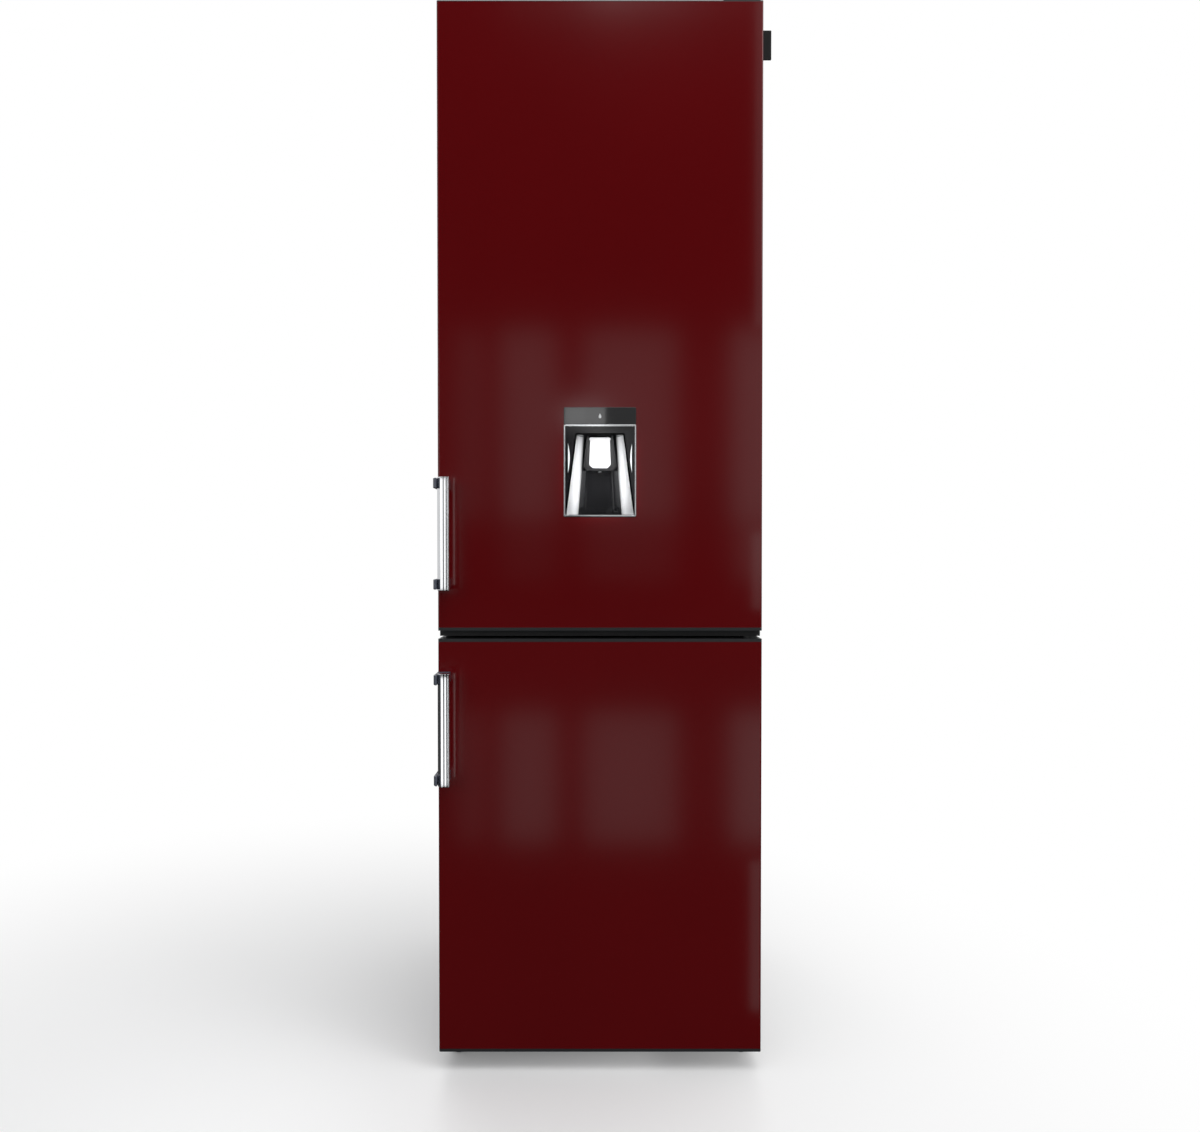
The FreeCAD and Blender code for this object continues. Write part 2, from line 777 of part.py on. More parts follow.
def make_cabinet():
    """The case, back panel, foam, liners, crossbar and base pan."""
    ways = pipe_ways()
    outer = block(both_sides(cabinet_half), (case_front, case_back), (cabinet_bottom, cabinet_top))
    inner = block(
        both_sides(cabinet_half - case_gauge),
        (depth(case_gauge), case_back + overrun),
        (cabinet_bottom - overrun, cabinet_top - case_gauge),
    )
    window = block(
        both_sides(opening_half),
        (case_front - overrun, depth(case_gauge) + overrun),
        (cabinet_bottom - overrun, cabinet_top - case_return),
    )
    save("outer_case", [outer.cut([inner, window] + screw_holes)])

    inside_half = cabinet_half - case_gauge
    back_low = (case_back - case_gauge, case_back)
    gland_hole = rod(
        gland_radius + fit,
        V(gland_x, case_back - gland_reach - overrun, gland_height),
        V(gland_x, case_back + overrun, gland_height),
    )
    shield_y = (depth(machine_depth) - case_gauge, case_back)
    shield_z = (machine_floor, machine_height + case_gauge)
    shield = block(both_sides(machine_half + case_gauge), shield_y, shield_z)
    hollow_y = (depth(machine_depth), case_back + overrun)
    shield_inside = block(both_sides(machine_half), hollow_y, (cabinet_bottom, machine_height))
    sheet = block(both_sides(inside_half), back_low, (machine_floor, foam_top))
    panel = joined([sheet, shield]).cut(shield_inside)
    save("back_panel", [panel.cut(ways + [gland_hole])])

    flange_high = fridge_floor - flange_land
    flange_low = freezer_ceiling + flange_land
    face_y = (case_front, depth(crossbar_gauge))
    bar_face = block(both_sides(opening_half), face_y, (flange_low, flange_high))
    bar_lips = [
        block(both_sides(opening_half), (case_front, depth(crossbar_lip)), (low, low + crossbar_gauge))
        for low in (flange_low, flange_high - crossbar_gauge)
    ]
    crossbar = joined([bar_face] + bar_lips).cut(front_screw_holes)
    save("centre_crossbar", [crossbar])

    base_front_top = freezer_floor - flange_land
    base_plate = block(both_sides(inside_half), (case_front, case_back), (cabinet_bottom, machine_floor))
    base_corners = [
        block(x_span, (case_front - overrun, depth(case_gauge)), (cabinet_bottom - overrun, base_front_top))
        for x_span in ((-cabinet_half, -opening_half), (opening_half, cabinet_half))
    ]
    base_face = block(both_sides(opening_half), face_y, (cabinet_bottom, base_front_top))
    foot_bosses = []
    foot_bores = []
    bore_radius = foot_stem_radius + running_clearance
    boss_span = (cabinet_bottom - boss_drop, machine_floor + boss_drop)
    for x in both_sides(foot_x):
        foot_bosses.append(rod(boss_radius, V(x, foot_y, boss_span[0]), V(x, foot_y, boss_span[1])))
        low = V(x, foot_y, boss_span[0] - overrun)
        foot_bores.append(rod(bore_radius, low, V(x, foot_y, boss_span[1] + overrun)))
    wheel_brackets = []
    bracket_y = (wheel_y - wheel_bracket_half, wheel_y + wheel_bracket_half)
    bracket_z = (wheel_radius - wheel_bracket_half, cabinet_bottom)
    for side in (-1, 1):
        for offset in (-1, 1):
            inner_x = side * wheel_x + offset * (wheel_width / 2 + wheel_bracket_gap)
            x_span = sorted((inner_x, inner_x + offset * wheel_bracket_gauge))
            wheel_brackets.append(block(x_span, bracket_y, bracket_z))
    axle_bore = rod(
        axle_radius + running_clearance,
        V(-cabinet_half, wheel_y, wheel_radius),
        V(cabinet_half, wheel_y, wheel_radius),
    )
    pan = joined([base_plate, base_face]).cut(base_corners)
    pan = joined([pan] + foot_bosses + wheel_brackets).cut(foot_bores + [axle_bore] + front_screw_holes)
    save("base_pan", [pan])

    foam_y = (depth(liner_gauge), case_back - case_gauge)
    foam_block = block(both_sides(inside_half), foam_y, (machine_floor, foam_top))
    foot_wells = [
        rod(boss_radius + fit, V(x, foot_y, cabinet_bottom), V(x, foot_y, foot_stem_top + boss_drop))
        for x in both_sides(foot_x)
    ]
    foam = foam_block.cut(
        [shield, fridge_cavity(liner_gauge), freezer_cavity(liner_gauge), crossbar, gland_hole]
        + ways + screw_holes + foot_wells
    )
    save("cabinet_foam", [foam])

    fridge_ribs = shelf_ribs()
    fridge_z = (flange_high, cabinet_top - case_return)
    save("fridge_liner", [liner(fridge_cavity, fridge_z, fridge_ribs)])
    freezer_ribs = []
    for level in divider_levels:
        freezer_ribs += side_ribs(freezer_half, level, (depth(divider_front), depth(divider_back)))
    freezer_z = (base_front_top, flange_low)
    save("freezer_liner", [liner(freezer_cavity, freezer_z, freezer_ribs).cut(ways)])


# Feet and rear wheels

def make_feet():
    """Two screw feet and the rear wheels on their axle."""
    for name, x in (("foot_left", -foot_x), ("foot_right", foot_x)):
        pad = rod(foot_radius, V(x, foot_y, 0), V(x, foot_y, foot_height))
        corners = []
        for corner in range(6):
            turn = corner * math.pi / 3
            corner_x = x + foot_nut_radius * math.cos(turn)
            corners.append(V(corner_x, foot_y + foot_nut_radius * math.sin(turn), foot_height))
        nut = prism(corners, V(0, 0, foot_nut_height))
        stem = rod(foot_stem_radius, V(x, foot_y, 0), V(x, foot_y, foot_stem_top))
        save(name, [joined([pad, nut, stem])])
    axle_half = wheel_x + wheel_width / 2 + wheel_bracket_gauge + 2 * wheel_bracket_gap
    wheels = [rod(axle_radius, V(-axle_half, wheel_y, wheel_radius), V(axle_half, wheel_y, wheel_radius))]
    for x in both_sides(wheel_x):
        left = V(x - wheel_width / 2, wheel_y, wheel_radius)
        wheels.append(rod(wheel_radius, left, left.add(V(wheel_width, 0, 0))))
    save("rear_rollers", [joined(wheels)])


# Doors

def door_skin(z_span, holes):
    """The folded steel front of a door: face, sides and narrow rear returns."""
    outer = rounded_front(both_sides(door_half), (door_front, door_back), z_span, door_edge_radius)
    over_z = (z_span[0] - overrun, z_span[1] + overrun)
    inner = rounded_front(
        both_sides(door_half - skin_gauge),
        (door_front + skin_gauge, door_back - skin_gauge),
        over_z,
        door_edge_radius - skin_gauge,
    )
    rear_y = (door_back - 2 * skin_gauge, door_back + overrun)
    rear = block(both_sides(door_half - skin_return), rear_y, over_z)
    return outer.cut([inner, rear] + holes)


def cap_plug(z_span):
    """The part of an end cap that fills the end of the skin."""
    wide = block(
        both_sides(door_half - skin_gauge - door_edge_radius),
        (door_front + skin_gauge + fit, door_back - skin_gauge - fit),
        z_span,
    )
    narrow = block(
        both_sides(door_half - skin_return - fit),
        (door_front + skin_gauge + door_edge_radius, door_back),
        z_span,
    )
    return joined([wide, narrow])


def pin_bore(z_span):
    """The bore on the door's axis for a hinge pin."""
    return rod(pin_radius + running_clearance, V(axis_x, axis_y, z_span[0]), V(axis_x, axis_y, z_span[1]))


def end_cap(lip_span, inner_end, extra):
    """A door's end cap: the lip that shows, with a plug into the skin up to inner_end."""
    lip = rounded_front(both_sides(door_half), (door_front, door_back), lip_span, door_edge_radius)
    plug = cap_plug(sorted((inner_end, lip_span[0] if inner_end < lip_span[0] else lip_span[1])))
    low = min(inner_end, lip_span[0]) - channel_height - overrun
    high = max(inner_end, lip_span[1]) + overrun
    return joined([lip, plug] + extra).cut(pin_bore((low, high)))


def door_core(plug_half_width, plug_z, plug_y, extra, shrink):
    """The raised rear of a door, or its foam side where shrink is the liner's gauge."""
    plug = block(
        both_sides(plug_half_width - shrink),
        (door_back - liner_gauge - overrun, plug_y - shrink),
        (plug_z[0] + shrink, plug_z[1] - shrink),
    )
    parts = [plug]
    for x_span, y_span, z_span in extra:
        parts.append(
            block(
                (x_span[0] + shrink, x_span[1] - shrink),
                (y_span[0], y_span[1] - shrink),
                (z_span[0] + shrink, z_span[1] - shrink),
            )
        )
    return joined(parts)


def door_liner(pan_z, core_outer, core_inner, lugs, holes):
    """The moulded rear pan of a door with its raised plug."""
    pan_half = door_half - skin_return - fit
    pan = block(both_sides(pan_half), (door_back - liner_gauge, door_back), pan_z)
    over_z = (pan_z[0] - overrun, pan_z[1] + overrun)
    in_front = block(both_sides(door_half), (door_front, door_back - liner_gauge), over_z)
    shell = joined([pan, core_outer]).cut([core_inner, in_front])
    shell = joined([shell] + lugs)
    return shell.cut(holes) if holes else shell


def door_foam(pan_z, core_inner, holes):
    """The foam between a door's skin and its liner."""
    slab = block(
        both_sides(door_half - skin_gauge - door_edge_radius),
        (door_front + skin_gauge, door_back - liner_gauge),
        pan_z,
    )
    foam = joined([slab, core_inner])
    return foam.cut(holes) if holes else foam


def gasket(z_span):
    """The magnetic seal round a door: a narrow neck and a wider face, as one ring."""
    outer_half = door_half - gasket_inset
    face_y = case_front - gasket_rest_gap
    neck_y = door_back + seal_gap * gasket_neck_share
    neck_inset = gasket_width * gasket_neck_share / 2
    wide_hole = block(
        both_sides(outer_half - gasket_width),
        (door_back - overrun, case_front),
        (z_span[0] + gasket_width, z_span[1] - gasket_width),
    )
    face = block(both_sides(outer_half), (neck_y, face_y), z_span).cut(wide_hole)
    neck = block(
        both_sides(outer_half - neck_inset),
        (door_back, neck_y),
        (z_span[0] + neck_inset, z_span[1] - neck_inset),
    )
    neck_hole = block(
        both_sides(outer_half - gasket_width + neck_inset),
        (door_back - overrun, neck_y + overrun),
        (z_span[0] + gasket_width - neck_inset, z_span[1] - gasket_width + neck_inset),
    )
    return joined([face, neck.cut(neck_hole)])


def handle_bar(bottom):
    """A flat bar with a bevelled outer side and two grooves along its face."""
    left = -door_half + bar_left_inset
    right = left + bar_width
    front = door_front - handle_reach
    back = door_front - handle_finger_gap
    bevel_back = front + (back - front) * bar_bevel_share
    outline = [V(left, back, bottom), V(left, bevel_back, bottom), V(left + bar_bevel, front, bottom)]
    for share in groove_shares:
        groove = left + bar_width * share
        outline += [
            V(groove, front, bottom),
            V(groove, front + groove_depth, bottom),
            V(groove + groove_width, front + groove_depth, bottom),
            V(groove + groove_width, front, bottom),
        ]
    outline += [V(right, front, bottom), V(right, back, bottom)]
    return prism(outline, V(0, 0, bar_length))


def handle_brackets(bottom):
    """The two posts that carry a bar, each with a cheek beside the bar."""
    brackets = []
    top = bottom + bar_length
    for low in (bottom + bracket_end_inset, top - bracket_end_inset - bracket_height):
        z_span = (low, low + bracket_height)
        left = -door_half
        post = block((left, left + bracket_depth), (door_front - handle_finger_gap, door_front), z_span)
        cheek = block(
            (left, left + bar_left_inset - bracket_side_gap),
            (door_front - handle_reach, door_front - handle_finger_gap),
            z_span,
        )
        brackets.append(joined([post, cheek]))
    return brackets


# Water dispenser

def dispenser_hole():
    """The opening through the upper door's skin for the niche and its head."""
    return block(
        both_sides(niche_half),
        (door_front - overrun, door_front + 2 * skin_gauge),
        (niche_bottom, dispenser_top - trim_side),
    )


def cone_axis_frustum(grow, low, high):
    """The upright cone whose rear half is the niche's wall."""
    slope = (cone_bottom_radius - cone_top_radius) / (niche_top - cone_head - niche_bottom)
    base = cone_bottom_radius + grow + slope * (niche_bottom - low)
    tip = cone_bottom_radius + grow - slope * (high - niche_bottom)
    return Part.makeCone(base, tip, high - low, V(0, door_front, low), V(0, 0, 1))


def tapered(top_half, bottom_half, top, bottom, y_span):
    """An upright plate whose width changes evenly with height."""
    outline = [
        V(-top_half, y_span[0], top),
        V(top_half, y_span[0], top),
        V(bottom_half, y_span[0], bottom),
        V(-bottom_half, y_span[0], bottom),
    ]
    return prism(outline, V(0, y_span[1] - y_span[0], 0))


def niche_envelope():
    """The whole room that the niche takes in the door, used to clear the foam."""
    shell = cone_axis_frustum(niche_wall, dispenser_bottom, niche_top)
    room_y = (door_front, door_front + cone_bottom_radius * 2)
    room = block(both_sides(niche_half), room_y, (dispenser_bottom, niche_top))
    face = block(both_sides(niche_half), (door_front, door_front + niche_face), (niche_bottom, niche_top))
    return joined([shell.common(room), face])


def make_niche():
    """The niche: face, conical wall, floor and roof, with the lever's housing."""
    cone_top = niche_top - cone_head
    hollow = cone_axis_frustum(0, niche_bottom, cone_top)
    sill_y = (door_front - overrun, door_front + skin_gauge)
    sill_room = block(both_sides(door_half), sill_y, (0, niche_bottom))
    body = niche_envelope().cut([hollow, sill_room])
    housing_bottom = cone_top - housing_height
    housing_y = (door_front + housing_setback, door_front + 2 * cone_top_radius)
    housing = tapered(housing_top_half, housing_bottom_half, cone_top, housing_bottom, housing_y)
    housing = housing.common(cone_axis_frustum(niche_wall / 2, niche_bottom, cone_top + fit))
    pocket = tapered(
        lever_top_half + pocket_side_gap,
        lever_bottom_half + pocket_side_gap,
        cone_top + overrun,
        housing_bottom + pocket_floor,
        (housing_y[0] - overrun, housing_y[0] + pocket_depth),
    )
    roof_relief = block(
        both_sides(lever_top_half + pocket_side_gap),
        (housing_y[0] - overrun, housing_y[0] + pocket_depth),
        (cone_top - overrun, cone_top + 2 * overrun),
    )
    pin_reach_half = lever_top_half + lever_pin_reach + pocket_side_gap
    pivot_bore = rod(
        lever_pin_radius + running_clearance,
        V(-pin_reach_half, lever_axis_y, lever_axis_z),
        V(pin_reach_half, lever_axis_y, lever_axis_z),
    )
    spout_way = rod(
        spout_radius + fit,
        V(0, door_front + spout_setback, housing_bottom - overrun),
        V(0, door_front + spout_setback, niche_top + overrun),
    )
    niche = joined([body, housing]).cut([pocket, roof_relief, pivot_bore, spout_way])
    save("dispenser_niche", [niche])


def make_dispenser():
    """Head panel, trim, niche, lever and the valve above it."""
    half = dispenser_width / 2
    front = door_front - bezel_proud
    head_span = (dispenser_top - head_height, dispenser_top)
    head = rounded_deep(both_sides(half), (front, door_front), head_span, trim_side)
    head_plug = block(
        both_sides(niche_half - fit),
        (door_front, door_front + niche_face),
        (head_span[0] + fit, dispenser_top - trim_side - fit),
    )
    save("dispenser_bezel", [joined([head, head_plug])])

    line = block(both_sides(half), (front, door_front), (niche_top, head_span[0]))
    sides = [
        block(x_span, (front, door_front), (dispenser_bottom, niche_top))
        for x_span in ((-half, -niche_half), (niche_half, half))
    ]
    foot = block(both_sides(half), (front, door_front), (dispenser_bottom, niche_bottom))
    save("dispenser_trim", [joined([line, foot] + sides)])
    make_niche()

    lever_y = door_front + housing_setback + lever_setback
    plate = prism(
        [
            V(-lever_top_half, lever_y, lever_top),
            V(lever_top_half, lever_y, lever_top),
            V(lever_bottom_half, lever_y, lever_bottom + lever_chamfer),
            V(lever_bottom_half - lever_chamfer, lever_y, lever_bottom),
            V(-lever_bottom_half + lever_chamfer, lever_y, lever_bottom),
            V(-lever_bottom_half, lever_y, lever_bottom + lever_chamfer),
        ],
        V(0, lever_gauge, 0),
    )
    pin_half = lever_top_half + lever_pin_reach
    pivot_end = V(pin_half, lever_axis_y, lever_axis_z)
    pivot = rod(lever_pin_radius, V(-pin_half, lever_axis_y, lever_axis_z), pivot_end)
    save("dispenser_lever", [joined([plate, pivot])])

    valve_y = door_front + spout_setback
    spout_low = niche_top - cone_head - housing_height
    bore_radius = spout_radius * spout_bore_share
    spout = rod(spout_radius, V(0, valve_y, spout_low), V(0, valve_y, niche_top))
    body = rod(valve_radius, V(0, valve_y, niche_top), V(0, valve_y, niche_top + valve_height))
    feed_z = tank_bottom + feed_rise
    feed = rod(feed_radius, V(0, valve_y, feed_z), V(0, upper_plug_face + bin_wall, feed_z))
    bore = rod(bore_radius, V(0, valve_y, spout_low - overrun), V(0, valve_y, feed_z))
    feed_bore = rod(bore_radius, V(0, valve_y, feed_z), V(0, upper_plug_face + bin_wall + overrun, feed_z))
    save("tap_valve", [joined([spout, body, feed]).cut([bore, feed_bore])])


def valve_ways():
    """The clear ways through foam and liner for the valve and its feed."""
    valve_y = door_front + spout_setback
    feed_z = tank_bottom + feed_rise
    return [
        rod(valve_radius + fit, V(0, valve_y, niche_top), V(0, valve_y, niche_top + valve_height + fit)),
        rod(feed_radius + fit, V(0, valve_y, feed_z), V(0, upper_plug_face + overrun, feed_z)),
    ]


def open_box(x_span, y_span, z_span, wall, front_wall, radius):
    """An open-topped tray with rounded corners."""
    outer = rounded_up(x_span, y_span, z_span, radius)
    inner = rounded_up(
        (x_span[0] + wall, x_span[1] - wall),
        (y_span[0] + front_wall, y_span[1] - wall),
        (z_span[0] + wall, z_span[1] + overrun),
        radius - wall,
    )
    return outer.cut(inner)


def make_tank():
    """The water tank in the door, with a fill hatch, its hinged lid and the lid's pin ears."""
    half = bin_half
    top = tank_top
    y_span = (upper_plug_face, upper_plug_face + tank_reach)
    outer = rounded_up(both_sides(half), y_span, (tank_bottom, top), bin_radius)
    inner = rounded_up(
        both_sides(half - bin_wall),
        (y_span[0] + bin_wall, y_span[1] - bin_wall),
        (tank_bottom + bin_wall, top - bin_wall),
        bin_radius - bin_wall,
    )
    hatch_y = (y_span[0] + hatch_setback, y_span[0] + hatch_setback + hatch_depth)
    hatch = block(both_sides(hatch_width / 2), hatch_y, (top - 2 * bin_wall, top + overrun))
    feed_hole = rod(
        feed_radius + fit,
        V(0, y_span[0] - overrun, tank_bottom + feed_rise),
        V(0, y_span[0] + 2 * bin_wall, tank_bottom + feed_rise),
    )
    axis = V(0, hatch_y[0] - lid_overlap - lid_knuckle_radius, top + lid_gap + lid_knuckle_radius)
    lid_half = hatch_width / 2 + lid_overlap
    ear_outer = lid_half - lid_knuckle_width - lid_gap
    ear_y = (axis.y - lid_knuckle_radius, axis.y + lid_knuckle_radius)
    ears = []
    for side in (-1, 1):
        x_span = sorted((side * ear_outer, side * (ear_outer - lid_knuckle_width)))
        ears.append(block(x_span, ear_y, (top, axis.z)))
        ears.append(rod(lid_knuckle_radius, V(x_span[0], axis.y, axis.z), V(x_span[1], axis.y, axis.z)))
    pin_way = rod(lid_pin_radius + running_clearance, V(-half, axis.y, axis.z), V(half, axis.y, axis.z))
    tank = joined([outer] + ears).cut([inner, hatch, feed_hole, pin_way])
    save("water_tank", [tank])

    plate_y = (hatch_y[0] - lid_overlap, hatch_y[1] + lid_overlap)
    plate_z = (top + lid_gap, top + lid_gap + lid_gauge)
    lid = [block(both_sides(lid_half), plate_y, plate_z)]
    for side in (-1, 1):
        x_span = sorted((side * lid_half, side * (lid_half - lid_knuckle_width)))
        lid.append(rod(lid_knuckle_radius, V(x_span[0], axis.y, axis.z), V(x_span[1], axis.y, axis.z)))
        lid.append(block(x_span, (axis.y, plate_y[0] + lid_knuckle_radius), plate_z))
    lid.append(rod(lid_pin_radius, V(-lid_half, axis.y, axis.z), V(lid_half, axis.y, axis.z)))
    save("tank_lid", [joined(lid)])


def make_bins():
    """The three open bins that hang between the door's pilasters."""
    bins = []
    for level, height in zip(bin_levels, bin_heights):
        y_span = (upper_plug_face, upper_plug_face + bin_reach)
        tray = open_box(both_sides(bin_half), y_span, (level, level + height), bin_wall, bin_wall, bin_radius)
        notch = block(
            both_sides(door_half),
            (upper_plug_face - overrun, upper_plug_face + bin_radius),
            (level + height * bin_front_share, level + height + overrun),
        )
        bins.append(tray.cut(notch))
    save("door_bins", bins)


def make_upper_door():
    """Every piece that swings with the upper door."""
    skin_z = (skin_low, upper_skin_high)
    pan_z = (skin_low + cap_reach, upper_skin_high - cap_reach)
    niche_room = niche_envelope()
    save("upper_door_skin", [door_skin(skin_z, [dispenser_hole()])])
    lip_low = (skin_low - side_lip, skin_low)
    channel_y = (door_front + channel_setback, door_back)
    channel = block(both_sides(door_half), channel_y, (upper_door_bottom, lip_low[0]))
    bottom = end_cap(lip_low, skin_low + cap_reach, [channel])
    top = end_cap((upper_skin_high, upper_door_top), upper_skin_high - cap_reach, [])
    save("upper_door_end_caps", [bottom, top])

    plug_z = (fridge_floor + upper_plug_floor_gap, fridge_ceiling - upper_plug_head_gap)
    pilaster_y = (door_back - liner_gauge, upper_plug_face + pilaster_reach)
    pilasters = [
        (x_span, pilaster_y, (plug_z[0], pilaster_top))
        for x_span in ((-plug_half, -plug_half + pilaster_width), (plug_half - pilaster_width, plug_half))
    ]
    outer = door_core(plug_half, plug_z, upper_plug_face, pilasters, 0)
    inner = door_core(plug_half, plug_z, upper_plug_face, pilasters, liner_gauge)
    lugs = []
    lug_outer = plug_half - pilaster_width
    lug_y = (upper_plug_face, upper_plug_face + lug_reach)
    for level in bin_levels + (tank_bottom,):
        for side in (-1, 1):
            x_span = sorted((side * (lug_outer - lug_width), side * lug_outer))
            lugs.append(block(x_span, lug_y, (level - lug_height, level)))
    save("upper_door_liner", [door_liner(pan_z, outer, inner, lugs, valve_ways())])
    save("upper_door_foam", [door_foam(pan_z, inner, [niche_room] + valve_ways() + [bezel_room()])])
    gasket_z = (gap_middle + hinge_leg_half + hinge_leg_clearance, upper_door_top - gasket_inset)
    save("upper_gasket", [gasket(gasket_z)])
    save("upper_handle_bar", [handle_bar(upper_bar_bottom)])
    save("upper_handle_brackets", handle_brackets(upper_bar_bottom))
    tab = block(
        (door_half, door_half + tab_reach),
        (door_front + tab_setback, door_front + tab_setback + tab_gauge),
        (tab_bottom, tab_bottom + tab_height),
    )
    save("side_tab", [tab])


def bezel_room():
    """The room behind the dispenser's head panel."""
    return block(
        both_sides(niche_half),
        (door_front, door_front + niche_face + fit),
        (niche_top, dispenser_top - trim_side),
    )


def make_lower_door():
    """Every piece that swings with the lower door."""
    skin_z = (lower_skin_low, lower_skin_high)
    pan_z = (lower_skin_low + cap_reach, lower_skin_high - cap_reach)
    save("lower_door_skin", [door_skin(skin_z, [])])
    bottom = end_cap((lower_door_bottom, lower_skin_low), lower_skin_low + cap_reach, [])
    top = end_cap((lower_skin_high, lower_door_top), lower_skin_high - cap_reach, [])
    save("lower_door_end_caps", [bottom, top])
    plug_z = (freezer_floor + lower_plug_floor_gap, freezer_ceiling - lower_plug_head_gap)
    half = freezer_half - lower_plug_side_gap
    outer = door_core(half, plug_z, lower_plug_face, [], 0)
    inner = door_core(half, plug_z, lower_plug_face, [], liner_gauge)
    save("lower_door_liner", [door_liner(pan_z, outer, inner, [], [])])
    save("lower_door_foam", [door_foam(pan_z, inner, [])])
    gasket_z = (freezer_floor - gasket_width, gap_middle - hinge_leg_half - hinge_leg_clearance)
    save("lower_gasket", [gasket(gasket_z)])
    save("lower_handle_bar", [handle_bar(lower_bar_bottom)])
    save("lower_handle_brackets", handle_brackets(lower_bar_bottom))


# Fridge inside

def make_fridge_inside():
    """Shelves, trims, crisper drawer, air duct, control housing and its knob, lens and switch."""
    shelf_x = both_sides(fridge_half - shelf_side_gap)
    shelf_y = (depth(shelf_front), depth(shelf_back))
    trim_y = (depth(shelf_front - trim_depth), depth(shelf_front + trim_depth))
    shelves = []
    trims = []
    for level in shelf_levels:
        shelves.append(block(shelf_x, shelf_y, (level, level + glass_gauge)))
        trim_low = level + (glass_gauge - trim_height) / 2
        trims.append(block(shelf_x, trim_y, (trim_low, trim_low + trim_height)))
    divider_x = both_sides(freezer_half - shelf_side_gap)
    divider_y = (depth(divider_front), depth(divider_back))
    dividers = [block(divider_x, divider_y, (level, level + glass_gauge)) for level in divider_levels]
    save("glass_shelves", shelves + dividers)
    rib_ends = shelf_ribs()
    save("shelf_trims", [trim.cut(shelves + rib_ends) for trim in trims])

    crisper_half = fridge_half - crisper_side_gap
    low = fridge_floor + drawer_run_gap
    save("crisper_drawer", [drawer(crisper_half, crisper_front, crisper_back, low, low + crisper_height)])

    duct_top = fridge_ceiling - duct_top_gap
    duct_outer = block(
        both_sides(duct_half_width), (fridge_back - duct_depth, fridge_back), (duct_bottom, duct_top)
    )
    duct_inner = block(
        both_sides(duct_half_width - duct_wall),
        (fridge_back - duct_depth + duct_wall, fridge_back + overrun),
        (duct_bottom + duct_wall, duct_top - duct_wall),
    )
    slots = []
    slot_y = (fridge_back - duct_depth - overrun, fridge_back)
    for level in shelf_levels[1:]:
        for row in (0, 1):
            low = level - slot_drop - row * 2 * slot_height
            slots.append(block(both_sides(slot_width / 2), slot_y, (low, low + slot_height)))
    save("fridge_air_duct", [duct_outer.cut([duct_inner] + slots)])

    ceiling_y = (depth(control_front), depth(control_back))
    control_z = (fridge_ceiling - control_height, fridge_ceiling)
    middle_z = fridge_ceiling - control_height / 2
    outer = rounded_up(both_sides(control_half_width), ceiling_y, control_z, control_radius)
    inner = block(
        both_sides(control_half_width - control_wall),
        (ceiling_y[0] + control_wall, ceiling_y[1] - control_wall),
        (control_z[0] + control_wall, control_z[1] + overrun),
    )
    shaft_hole = rod(
        knob_shaft_radius + running_clearance,
        V(knob_x, ceiling_y[0] - overrun, middle_z),
        V(knob_x, ceiling_y[0] + control_wall + overrun, middle_z),
    )
    lens_hole_z = (control_z[0] - overrun, fridge_ceiling)
    lens_hole = block(both_sides(lens_half_width), (depth(lens_front), depth(lens_back)), lens_hole_z)
    switch_hole = block(
        (switch_x - switch_half - switch_clearance, switch_x + switch_half + switch_clearance),
        (ceiling_y[0] - overrun, ceiling_y[0] + control_wall + overrun),
        (middle_z - switch_half - switch_clearance, middle_z + switch_half + switch_clearance),
    )
    save("control_housing", [outer.cut([inner, shaft_hole, lens_hole, switch_hole])])

    knob_back = ceiling_y[0] - knob_stand_off
    knob = rod(knob_radius, V(knob_x, knob_back - knob_depth, middle_z), V(knob_x, knob_back, middle_z))
    rib = block(
        (knob_x - knob_rib / 2, knob_x + knob_rib / 2),
        (knob_back - knob_depth - knob_rib / 2, knob_back - knob_rib),
        (middle_z - knob_radius + knob_rib, middle_z + knob_radius - knob_rib),
    )
    shaft_end = V(knob_x, knob_back + knob_shaft_reach, middle_z)
    shaft = rod(knob_shaft_radius, V(knob_x, knob_back - knob_rib, middle_z), shaft_end)
    save("thermostat_knob", [joined([knob, rib, shaft])])

    lens = block(
        both_sides(lens_half_width - fit),
        (depth(lens_front) + fit, depth(lens_back) - fit),
        (control_z[0] - lens_depth, control_z[0] + control_wall),
    )
    save("light_lens", [lens])
    button_front = upper_plug_face + switch_plug_gap
    button = block(
        (switch_x - switch_half, switch_x + switch_half),
        (button_front, button_front + switch_length),
        (middle_z - switch_half, middle_z + switch_half),
    )
    save("light_switch_button", [button])


def drawer(half, front, back, low, high):
    """A pull-out drawer with a thicker front and a shallow grip in it."""
    y_span = (depth(front), depth(back))
    tray = open_box(both_sides(half), y_span, (low, high), drawer_wall, drawer_front_wall, drawer_radius)
    grip = block(
        both_sides(grip_width / 2),
        (depth(front) - overrun, depth(front) + grip_depth),
        (high - grip_drop - grip_height, high - grip_drop),
    )
    return tray.cut(grip)


# Freezer inside

